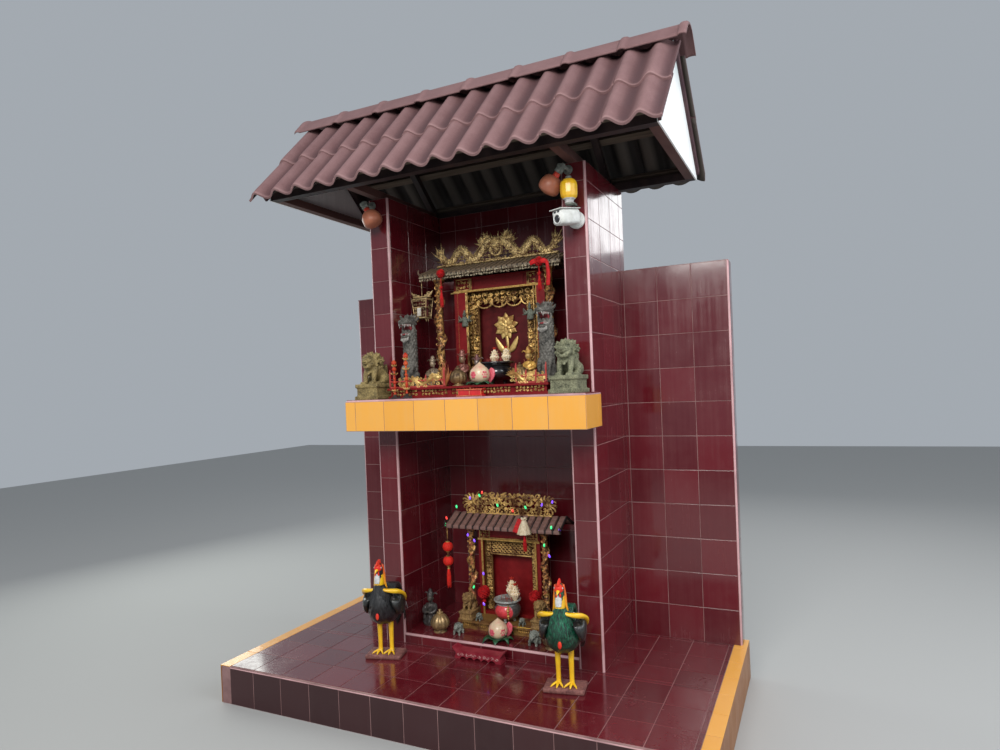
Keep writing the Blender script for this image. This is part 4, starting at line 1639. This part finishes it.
# Candle stands and small stands
# Turned candle holders with a dark foot, a gold lotus cup and red balls; a glossy red box
# stand on the shelf and a maroon bench with a cusped apron on the platform.
holders, cups, feet = Work(SHELF), Work(SHELF), Work(SHELF)
for x0, tall in ((-425, 221), (-345, 260)):
    holders.place = cups.place = feet.place = SHELF @ shift((x0, -190, 0)) @ sized((1, 1,
        tall / 236))
    turned(feet, [(0, 0), (31, 0), (32, 3), (30, 6), (16, 10), (9, 15), (7, 26), (0, 26)])
    for k in range(3):
        a = 2 * pi * k / 3 + 0.5
        curl(feet, (24 * cos(a), 24 * sin(a), 9), 8, a, 1, 3, 4, 10)
    turned(holders, [(0, 20), (6, 22), (8, 30), (5, 38), (6, 66), (9, 72), (5, 80), (5, 137),
        (8, 141), (5, 146), (5, 206), (0, 206)], around=24)
    for z, r in ((100, 11), (122, 9), (180, 13)):
        ball(holders, (0, 0, z), (r, r, r), 3)
    turned(holders, [(0, 206), (12, 207), (14, 214), (14, 226), (8, 230), (6, 236), (0, 236)],
        around=24)
    for z, count, reach in ((44, 10, 19), (146, 10, 21), (196, 8, 16)):
        for k in range(count):
            a = 2 * pi * k / count
            out, across = Vector((cos(a), sin(a), 0)), Vector((-sin(a), cos(a), 0))
            limb(cups, [(*(out * 4 + Vector((0, 0, z))), 3, 1.5),
                (*(out * reach * 0.75 + Vector((0, 0, z + 5))), 5, 1.5),
                (*(out * reach + Vector((0, 0, z + 14))), 0.8)], 7, 6, across)
for work in (holders, cups, feet):
    smooth_all(work)
add_piece("candle_holders", holders, lacquer("candle_red", (0.38, 0.018, 0.010),
    (0.58, 0.12, 0.03)), ["candle_stands"])
add_piece("candle_cups", cups, bright_gold)
add_piece("candle_feet", feet, stone("dark_foot", (0.06, 0.05, 0.045), (0.015, 0.012, 0.012)))

STAND = SHELF @ shift((75, -229, 0))
stand, stand_gold = Work(STAND), Work(STAND)
block(stand, (-78, 0, 34), (78, 48, 42), 2)
block(stand, (-70, 6, 10), (70, 42, 35), 1.5)
block(stand, (-78, 0, 0), (78, 48, 11), 2)
for z in (5, 38):
    block(stand_gold, (-78.3, -0.3, z - 1), (78.3, 0.6, z + 1))
for x in (-69, 0, 69):
    block(stand_gold, (x - 1, 5.5, 11), (x + 1, 6.2, 34))
glossy_red = mottled("glossy_red", (24.0, 3.0), (0.35, 0.75), (0.62, 0.016, 0.016),
    (0.42, 0.010, 0.010), 0.15, 0.15, Coat_Weight=0.8, Coat_Roughness=0.06)
add_piece("red_box_stand", stand, glossy_red, ["offering_stands"])
add_piece("stand_lines", stand_gold, bright_gold)

BENCH = shift(HOUSE + Vector((-0.010, -0.100, 0))) @ MM @ sized((325 / 300, 1, 64 / 76))
bench = bmesh.new()
outline = [(-120, 0), (-105, 0)]
for middle in (-84, -42, 0, 42, 84):
    outline += [(middle + 20.4 * cos(a), -3 + 20.4 * sin(a))
        for a in (pi * (1 - k / 8) for k in range(9)) if -3 + 20.4 * sin(a) > 0]
outline += [(105, 0), (136, 0), (134, 14), (128, 30), (128, 42), (140, 60), (150, 76), (142, 74),
    (134, 68), (124, 60), (110, 56),
    (-110, 56), (-124, 60), (-134, 68), (-142, 74), (-150, 76), (-140, 60), (-128, 42), (-128, 30),
    (-134, 14), (-136, 0)]
face = bench.faces.new([bench.verts.new(BENCH @ Vector((x, 0, z))) for x, z in outline])
board = bmesh.ops.extrude_face_region(bench, geom=[face])["geom"]
bmesh.ops.translate(bench, verts=[v for v in board if isinstance(v, bmesh.types.BMVert)],
    vec=(0, 0.066, 0))
bmesh.ops.recalc_face_normals(bench, faces=list(bench.faces))
add_piece("cusped_bench", bench, lacquer("bench_maroon", (0.20, 0.010, 0.022),
    (0.34, 0.045, 0.060)))
apron = Work(BENCH)
foliage(apron, (-124, 14), (124, 50), 0, 26, 4)
add_smooth("bench_apron_scrolls", apron, stone("worn_pink", (0.62, 0.36, 0.34),
    (0.30, 0.05, 0.07)), "red_lacquer")

# Cloth ornaments
# Balls of folded red cloth with silk tassels, hung on the eave and the lower screen, red
# flower balls and a small cream cloth bell.


def tassel(work, top, drop, r, strands=20):
    """A bundle of twisted silk strands with a bound head."""
    ball(work, (*top[:2], top[2] - r * 0.6), (r * 0.62, r * 0.62, r * 0.7))
    for k in range(strands):
        a = 2 * pi * k / strands
        reach = r * (0.55 + 0.4 * sin(3.7 * k))
        limb(work, [(top[0] + r * 0.3 * cos(a), top[1] + r * 0.3 * sin(a), top[2] - r, 2.0),
            (top[0] + reach * cos(a), top[1] + reach * sin(a), top[2] - drop * 0.55, 2.4),
            (top[0] + reach * 1.05 * cos(a), top[1] + reach * 1.05 * sin(a),
            top[2] - drop + 6 * sin(5.0 * k) + 6, 1.3)], 7, 5, X)


def rosette(work, at, r, petals=60):
    """A ball of folded cloth: petals set all over a sphere on a golden-angle spiral."""
    ball(work, at, (r * 0.66, r * 0.66, r * 0.66), 2)
    for k in range(petals):
        h = 1 - 2 * (k + 0.5) / petals
        a = 2.39996 * k
        out = Vector((sqrt(1 - h * h) * cos(a), sqrt(1 - h * h) * sin(a), h))
        across = out.cross(Vector((0.3, 0.2, 0.93))).normalized()
        root = Vector(at) + out * r * 0.5
        limb(work, [(*root, r * 0.12, r * 0.07),
            (*(root + out * r * 0.32 + across * r * 0.08), r * 0.24, r * 0.06),
            (*(root + out * r * 0.5), r * 0.12, r * 0.04)], 5, 6, across)


cloth = Work(SHELF)
for x0, drop in ((-296, 215), (352, 175)):
    at = (x0, 153, EAVE_H + 14)
    rosette(cloth, at, 28)
    limb(cloth, [(*at, 3), (x0, 153, EAVE_H - 30, 3), (x0, 153, EAVE_H + 34 - drop * 0.62, 3)], 6,
        6, X)
    rosette(cloth, (x0, 153, EAVE_H + 24 - drop * 0.45), 13, 26)
    tassel(cloth, (x0, 153, EAVE_H + 20 - drop * 0.5), drop * 0.5, 11)
cloth.place = PLINTH
for x0, y0, z0, r in ((-158, 287.7, 202, 42), (184, 291.7, 208, 38)):
    rosette(cloth, (x0, y0, z0), r * 0.98, 90)
    tassel(cloth, (x0, y0, z0 - r * 0.8), 34, 12, 14)
    limb(cloth, [(x0, y0 + r * 0.7, z0, 3), (x0, 334, z0 + 2, 3)], 3, 6, X)
cloth.place = SHELF
for s in (-1, 1):
    limb(cloth, [(352, 146, EAVE_H + 10, 5, 12), (352 + s * 30, 142, EAVE_H + 14, 4, 15),
        (352 + s * 52, 146, EAVE_H + 4, 3, 12)], 10, 8, Y)
limb(cloth, [(404, 146, EAVE_H + 8, 10, 6), (410, 146, EAVE_H - 60, 12, 5),
    (406, 146, EAVE_H - 128, 13, 4)], 10, 10, X)
cloth.place = PLINTH @ shift((122, 228, 640)) @ spin("Y", 0.3) @ spin("X", -0.45)
block(cloth, (-20, -3, -42), (20, 0, 42), 1)
cloth.place = PLINTH
tassel(cloth, (176, 193.7, 600), 104, 11, 20)
smooth_all(cloth)
red_cloth = Finish("red_cloth", Roughness=0.7, Specular_IOR_Level=0.3)
crease = red_cloth.noise(60.0, 4.0).over(0.35, 0.75)
red_cloth.put(Base_Color=crease.blend((0.62, 0.012, 0.014), (0.24, 0.006, 0.010)))
red_cloth.bump(red_cloth.noise(300.0, 2.0), 0.0006, 0.4)
add_piece("cloth_rosettes", cloth, red_cloth, ["cloth_ornaments"])
bell = Work(PLINTH)
scallop = lambda u, turn: 1 + 0.08 * sin(8 * turn) * u
limb(bell, [(176, 193.7, 688, 10), (176, 193.7, 664, 22), (176, 193.7, 632, 34),
    (176, 193.7, 604, 42)], 12, 40, X, scallop)
for k in range(9):
    ball(bell, (176 + 13 * cos(0.7 * k), 193.7 + 11 * sin(0.7 * k), 690 + 3 * (k % 3)), (8, 8, 7),
        1)
smooth_all(bell)
cream = mottled("cream_cloth", (90.0, 3.0), (0.3, 0.75), (0.70, 0.62, 0.46), (0.50, 0.36, 0.20), 0,
    0.8)
cream.bump(cream.noise(350.0, 2.0), 0.0005, 0.3)
add_piece("cream_bell", bell, cream)

# Fairy lights
# Small coloured bulbs clipped round the lower altar; their loose wire is left out.
bulb_tones = {"green": (0.05, 0.75, 0.25), "purple": (0.22, 0.08, 0.95), "red": (0.80, 0.05, 0.04)}
bulb_places = {
    "green": ((-186, 338, 786), (-335, 300, 717), (-383, 234, 617), (-62, 336, 730),
    (128, 338, 724), (330, 236, 634), (256, 296, 511), (-160, 290, 206), (357, 290, 178),
    (-231, 290, 219)),
    "purple": ((-257, 338, 768), (-261, 296, 543), (-210, 290, 511), (232, 338, 744),
    (302, 338, 764), (383, 236, 622), (290, 296, 449), (-156, 290, 309), (-156, 284, 122)),
    "red": ((-374, 240, 655), (-170, 338, 806), (40, 338, 700))}
clips = Work(PLINTH)
for name, tone in bulb_tones.items():
    bulbs = Work(PLINTH)
    for x0, y0, z0 in bulb_places[name]:
        lean = chance.uniform(-6, 6)
        limb(bulbs, [(x0, y0, z0 - 1, 4), (x0 + lean * 0.4, y0 - 3, z0 + 8, 6.5),
            (x0 + lean, y0 - 4, z0 + 18, 2.6)], 8, 10)
        limb(clips, [(x0, y0 + 8, z0 - 3, 2.4), (x0, y0 + 1, z0 - 7, 3.6), (x0, y0, z0 + 1, 3.8)],
            5, 8)
    smooth_all(bulbs)
    glass = Finish(name + "_bulb", Roughness=0.15, Coat_Weight=0.6, Emission_Strength=1.6)
    tint = glass.noise(40.0, 2.0).over(0.2, 0.8).blend(tone, [0.7 * c for c in tone])
    glass.put(Base_Color=tint, Emission_Color=tint)
    add_piece(name + "_bulbs", bulbs, glass)
add_smooth("bulb_clips", clips, leaf_green, "gilt")

# Roosters
# Painted ceramic birds on rough cast blocks: long necks, wings held out at the shoulders
# under yellow edges, yellow legs and drooping tails; the left one black, the right green.


def feather_rows(u, turn):
    return 1 + 0.04 * ((24 * u + (0.5 if sin(8 * turn) > 0 else 0)) % 1)


def rooster(bird):
    """The parts of a rooster facing -Y, each in its own mesh."""
    limb(bird["plumage"], [(0, 112, 318, 20, 22), (0, 76, 300, 66, 58), (0, 24, 280, 88, 84),
        (0, -30, 286, 84, 86), (0, -66, 330, 58, 62),
        (0, -72, 384, 32, 42), (0, -66, 440, 25, 37), (0, -62, 490, 24, 34), (0, -68, 530, 22, 27),
        (0, -72, 550, 13, 16)], 70, 32, X, feather_rows)
    for s in (-1, 1):
        limb(bird["wings"], [(s * 66, -50, 350, 20, 14), (s * 88, -44, 338, 24, 46),
            (s * 98, -8, 316, 22, 64), (s * 94, 44, 292, 16, 58), (s * 78, 100, 256, 10, 42),
            (s * 58, 144, 218, 4, 10)], 40, 20, X, feather_rows)
        limb(bird["plumage"], [(s * 34, 6, 262, 34, 36), (s * 34, 2, 238, 22),
            (s * 34, 0, 222, 13)], 8, 14, X)
        for k in range(7):
            limb(bird["wings"], [(s * 97, 20 + 6 * k, 300 - 10 * k, 5, 12),
                (s * (88 - k), 84 + 4 * k, 262 - 12 * k, 5, 12),
                (s * (70 - 2 * k), 138 + 3 * k, 206 - 8 * k, 1.5, 3)], 8, 6, X)
        limb(bird["yellow"], [(s * 18, -80, 412, 8, 7), (s * 42, -80, 404, 12, 9),
            (s * 74, -70, 398, 15, 13), (s * 102, -46, 388, 17, 15), (s * 118, -8, 366, 13, 14),
            (s * 117, 28, 336, 9), (s * 108, 60, 306, 3)], 24, 12, Y)
        limb(bird["yellow"], [(s * 34, 0, 240, 18), (s * 34, 0, 190, 15), (s * 34, 0, 110, 12.5),
            (s * 34, 0, 50, 12), (s * 34, -2, 30, 15, 14)], 44, 12, X, lambda u,
            turn: 1 + 0.05 * ((16 * u) % 1))
        for a in (-32, 0, 32, 180):
            out = Vector((sin(radians(a)), -cos(radians(a)), 0)) * (34 if a == 180 else 60)
            foot = Vector((s * 34, -2, 36))
            limb(bird["yellow"], [(*foot, 8), (*(foot + out * 0.4), 8, 7),
                (*(foot + out * 0.75 - Vector((0, 0, 3))), 6),
                (*(foot + out - Vector((0, 0, 8))), 2)], 9, 8, X if abs(out.y) > abs(out.x) else Y)
        ball(bird["red"], (s * 8, -93, 498), (6, 7, 15), 2)
        ball(bird["pale"], (s * 20, -82, 533), (4, 5, 5), 2)
    ball(bird["red"], (0, -76, 528), (22.5, 25, 25), 3)
    for k in range(5):
        spike(bird["red"], (0, -92 + 11 * k, 546), (0, -94 + 13 * k, 577 - 3 * abs(k - 2)), 8, 8)
    limb(bird["yellow"], [(0, -90, 524, 11, 9), (0, -108, 519, 7, 5), (0, -124, 510, 1.5)], 8, 10,
        X)
    limb(bird["yellow"], [(0, -64, 508, 23, 29), (0, -62, 478, 26, 34), (0, -66, 444, 28, 39),
        (0, -68, 416, 22, 34)], 14, 20, X)
    limb(bird["pale"], [(0, -90, 500, 11, 8), (0, -96, 474, 17, 9), (0, -102, 446, 14, 7)], 12, 14,
        X)
    for k in range(64):
        a = -2.4 + 4.8 * (k % 32) / 31
        low = 350 - 26 * cos(2.1 * k) if k < 32 else 292 - 20 * cos(1.7 * k)
        reach = 1.05 if k < 32 else 1.42
        strand = [(19 * sin(a), -66 - 31 * cos(a), 432, 5, 4),
            (30 * reach * sin(a), -66 - 37 * cos(a), 392, 6, 5),
            (48 * reach * sin(a), -50 - 56 * cos(a) * reach, low, 1.5)]
        limb(bird["strands"], strand, 7, 5, X)
    ball(bird["red"], (4, -126, 268), (10, 6, 20), 2)
    for k in range(30):
        a = radians(15 + 150 * k / 29)
        wide = 26 + 3 * sin(2.2 * k)
        path = [(wide * f * cos(a), y + wide * 1.15 * f * sin(a), z, w, w * 0.6) for f, y, z,
            w in ((0.80, -66, 544, 4), (1.0, -64, 494, 6), (1.1, -66, 446, 6),
            (1.45, -62, 404 + 5 * sin(1.7 * k), 2))]
        limb(bird["hackle"], path, 10, 6, X)
    for k in range(9):
        i = (k - 4) / 2
        sickle = [(i * 12, 84, 336, 7, 16), (i * 15, 128, 372, 8, 16), (i * 17, 176, 350, 7, 16),
            (i * 17, 204, 270, 6, 14), (i * 15, 206, 180 + 14 * abs(i), 5, 11),
            (i * 12, 196, 100 + 30 * abs(i), 1, 2)]
        limb(bird["plumage"], sickle, 24, 8, X)
    for k in range(12):
        s = 1 if k % 2 else -1
        f = k // 2
        limb(bird["pale"], [(s * (20 + 10 * f), 88 - 4 * f, 352 - 5 * f, 7, 4),
            (s * (24 + 12 * f), 132 - 3 * f, 350 - 14 * f, 7, 4),
            (s * (26 + 12 * f), 170 - 4 * f, 292 - 14 * f, 1)], 10, 6, Z)
    block(bird["rock"], (-105, -70, 0), (105, 60, 26), 9)


yellow_glaze = mottled("yellow_glaze", (26.0, 3.0), (0.35, 0.75), (0.90, 0.56, 0.015),
    (0.78, 0.40, 0.01), 0.15, 0.3, Coat_Weight=0.5, Coat_Roughness=0.15)
comb_red = lacquer("comb_red", (0.62, 0.020, 0.016), (0.80, 0.07, 0.03))
pale_paint = stone("pale_paint", (0.66, 0.66, 0.64), (0.34, 0.34, 0.35), 60.0)
cast_block = stone("cast_block", (0.30, 0.125, 0.105), (0.10, 0.035, 0.034), 90.0)
wing_black = Finish("wing_black", Coat_Weight=0.5, Coat_Roughness=0.15)
barbs = wing_black.noise(1.0, 5.0, 0.7, stretch=(60, 160, 160))
wing_black.put(Base_Color=barbs.over(0.40, 0.70).blend((0.005, 0.006, 0.006),
    (0.024, 0.028, 0.026)), Roughness=barbs * 0.2 + 0.25)
wing_black.bump(barbs, 0.004, 0.7)
hackle_paint = Finish("hackle_paint", Roughness=0.4)
x, y, z = hackle_paint.axes()
down = 1 - z.over(HOUSE.z + 0.40, HOUSE.z + 0.52)
hackle_paint.put(Base_Color=(down * 0.9 + hackle_paint.noise(60.0, 3.0) * 0.2).blend((0.72, 0.05,
    0.015), (0.88, 0.46, 0.02)))
for name, x0, y0, turn, tones in (("left", -0.553, -0.200, 15,
        ((0.006, 0.006, 0.007), (0.030, 0.030, 0.032))),
        ("right", 0.567, -0.240, 10, ((0.002, 0.016, 0.011), (0.012, 0.17, 0.085)))):
    place = shift(HOUSE + Vector((x0, y0, 0))) @ spin("Z", radians(turn)) @ MM
    bird = {part: Work(place) for part in ("plumage", "strands", "wings", "yellow", "red", "pale",
        "hackle", "rock")}
    rooster(bird)
    feathers = Finish(name + "_plumage", Coat_Weight=0.35, Coat_Roughness=0.2)
    barbs = feathers.noise(1.0, 5.0, 0.7, stretch=(160, 160, 40))
    high = feathers.axes()[2].over(HOUSE.z + 0.22, HOUSE.z + 0.36)
    feathers.put(Base_Color=(barbs.over(0.44, 0.60) * (high * 0.75 + 0.25)).blend(*tones),
        Roughness=barbs * 0.25 + 0.22)
    feathers.bump(barbs, 0.004, 0.8)
    for part, finish in (("plumage", feathers), ("strands", feathers), ("wings", wing_black),
            ("yellow", yellow_glaze), ("red", comb_red), ("pale", pale_paint),
            ("hackle", hackle_paint), ("rock", cast_block)):
        add_smooth(name + "_rooster_" + part, bird[part], finish, "rooster_paint",
            ["roosters"] if name + part == "leftplumage" else ())

# Lamps and camera
# Reflector lamps on short arms from round plates, a yellow lamp on a bracket and a white
# camera under a visor, all screwed to the tops of the piers; their wires are left out.
HALF_MM, LAMP_Z = 557, 2665
lamp_metal = stone("lamp_metal", (0.30, 0.32, 0.28), (0.08, 0.085, 0.075), 90.0)
lamp_skin = Finish("faded_lamp_paint", Roughness=0.38, Specular_IOR_Level=0.4)
fade = lamp_skin.noise(22.0, 4.0).over(0.3, 0.8)
lamp_skin.put(Base_Color=fade.blend((0.46, 0.155, 0.085), (0.30, 0.115, 0.075)))
bulbs, necks, brackets = Work(MM), Work(MM), Work(MM)
for x0, turn in ((-HALF_MM - 111, (4, -27)), (HALF_MM + 46, (3, 38))):
    at = shift(HOUSE) @ MM @ shift((x0, 0, LAMP_Z))
    brackets.place = at
    turned(brackets, [(0, 0), (26, 0), (26, 6), (23, 8), (11, 9), (9, 12), (9, 70), (13, 74),
        (13, 88), (0, 90)], around=24, facing=True)
    brackets.place = necks.place = bulbs.place = at @ shift((0, -90, 0)) @ spin("Y",
        radians(turn[1])) @ spin("X", radians(turn[0]))
    turned(brackets, [(0, 4), (12, 4), (20, 0), (24, -4), (24, -14), (19, -17), (22, -20),
        (22, -42), (0, -42)], around=32)
    turned(necks, [(0, -42), (17.5, -42), (18, -60), (20, -67), (0, -67)], around=32)
    bell = [(20 + 39 * sin(radians(a)), -66 - 58 * (1 - cos(radians(a)))) for a in range(0, 91, 9)]
    turned(bulbs, [(0, -66), *bell, (58, -138), (53, -148), (44, -155), (30, -161), (15, -164),
        (0, -165)], around=48)
brackets.place = at = shift(HOUSE) @ MM @ shift((HALF_MM + 81, -100, 2460))
yellow_bulb, pale_rings = Work(at), Work(at)
turned(yellow_bulb, [(0, 22), (32, 23), (42, 34), (45, 50), (45, 92), (41, 108), (30, 121),
    (0, 122)], around=12)
turned(pale_rings, [(0, 0), (22, 0), (24, 4), (20, 9), (24, 13), (24, 21), (33, 23), (0, 24)],
    around=32)
turned(brackets, [(0, -9), (19, -8), (22, -4), (22, 2), (0, 2)], around=32)
turned(brackets, [(0, 120), (17, 122), (19, 127), (15, 131), (15, 138), (0, 138)], around=32)
block(brackets, (-10, 10, 6), (10, 100, 18), 1.5)
for work in (bulbs, necks, brackets, pale_rings):
    smooth_all(work)
bmesh.ops.recalc_face_normals(yellow_bulb.mesh, faces=list(yellow_bulb.mesh.faces))
add_piece("reflector_lamps", bulbs, lamp_skin, ["flood_lamps"])
add_piece("lamp_necks", necks, lacquer("neck_red", (0.60, 0.050, 0.035), (0.76, 0.12, 0.07)))
add_piece("lamp_brackets", brackets, lamp_metal)
add_piece("yellow_lamp_body", yellow_bulb, yellow_glaze, ["yellow_lamp"])
add_piece("yellow_lamp_ring", pale_rings, pale_paint)

housing = Work(shift(HOUSE) @ MM @ shift((HALF_MM + 85, 0, 2392)))
turned(housing, [(0, 0), (45, 0), (45, 14), (39, 22), (17, 24), (14, 28), (14, 62), (0, 62)],
    around=40, facing=True)
housing.place = at = housing.place @ shift((0, -62, 0)) @ spin("Z", radians(-24)) @ spin("X",
    radians(8))
ball(housing, (0, 0, 0), (20, 20, 20), 3)
block(housing, (-37, -118, -34), (37, 22, 41.5), 14)
block(housing, (-41, -128, 42), (41, 22, 46), 1.5)
windows = Work(at @ spin("X", pi / 2))
housing.place = windows.place
turned(housing, [(0, 112), (25, 112), (25, 122), (22, 124), (20, 119), (0, 119)], (0, -4, 0), 40)
turned(windows, [(0, 114), (19, 114), (19, 121), (12, 123.5), (0, 124)], (0, -4, 0), 32)
windows.place = at
for x0 in (-19, 5):
    block(windows, (x0, -119.5, 26), (x0 + 14, -110, 36), 1)
for work in (housing, windows):
    smooth_all(work)
add_piece("camera_housing", housing, stone("camera_paint", (0.78, 0.79, 0.77), (0.56, 0.57, 0.54),
    30.0), ["bullet_camera"])
window_glass = mottled("dark_window", (30.0, 2.0), (0.3, 0.8), (0.010, 0.010, 0.012),
    (0.03, 0.03, 0.035), 0, 0.12, Coat_Weight=0.8)
add_piece("camera_windows", windows, window_glass)
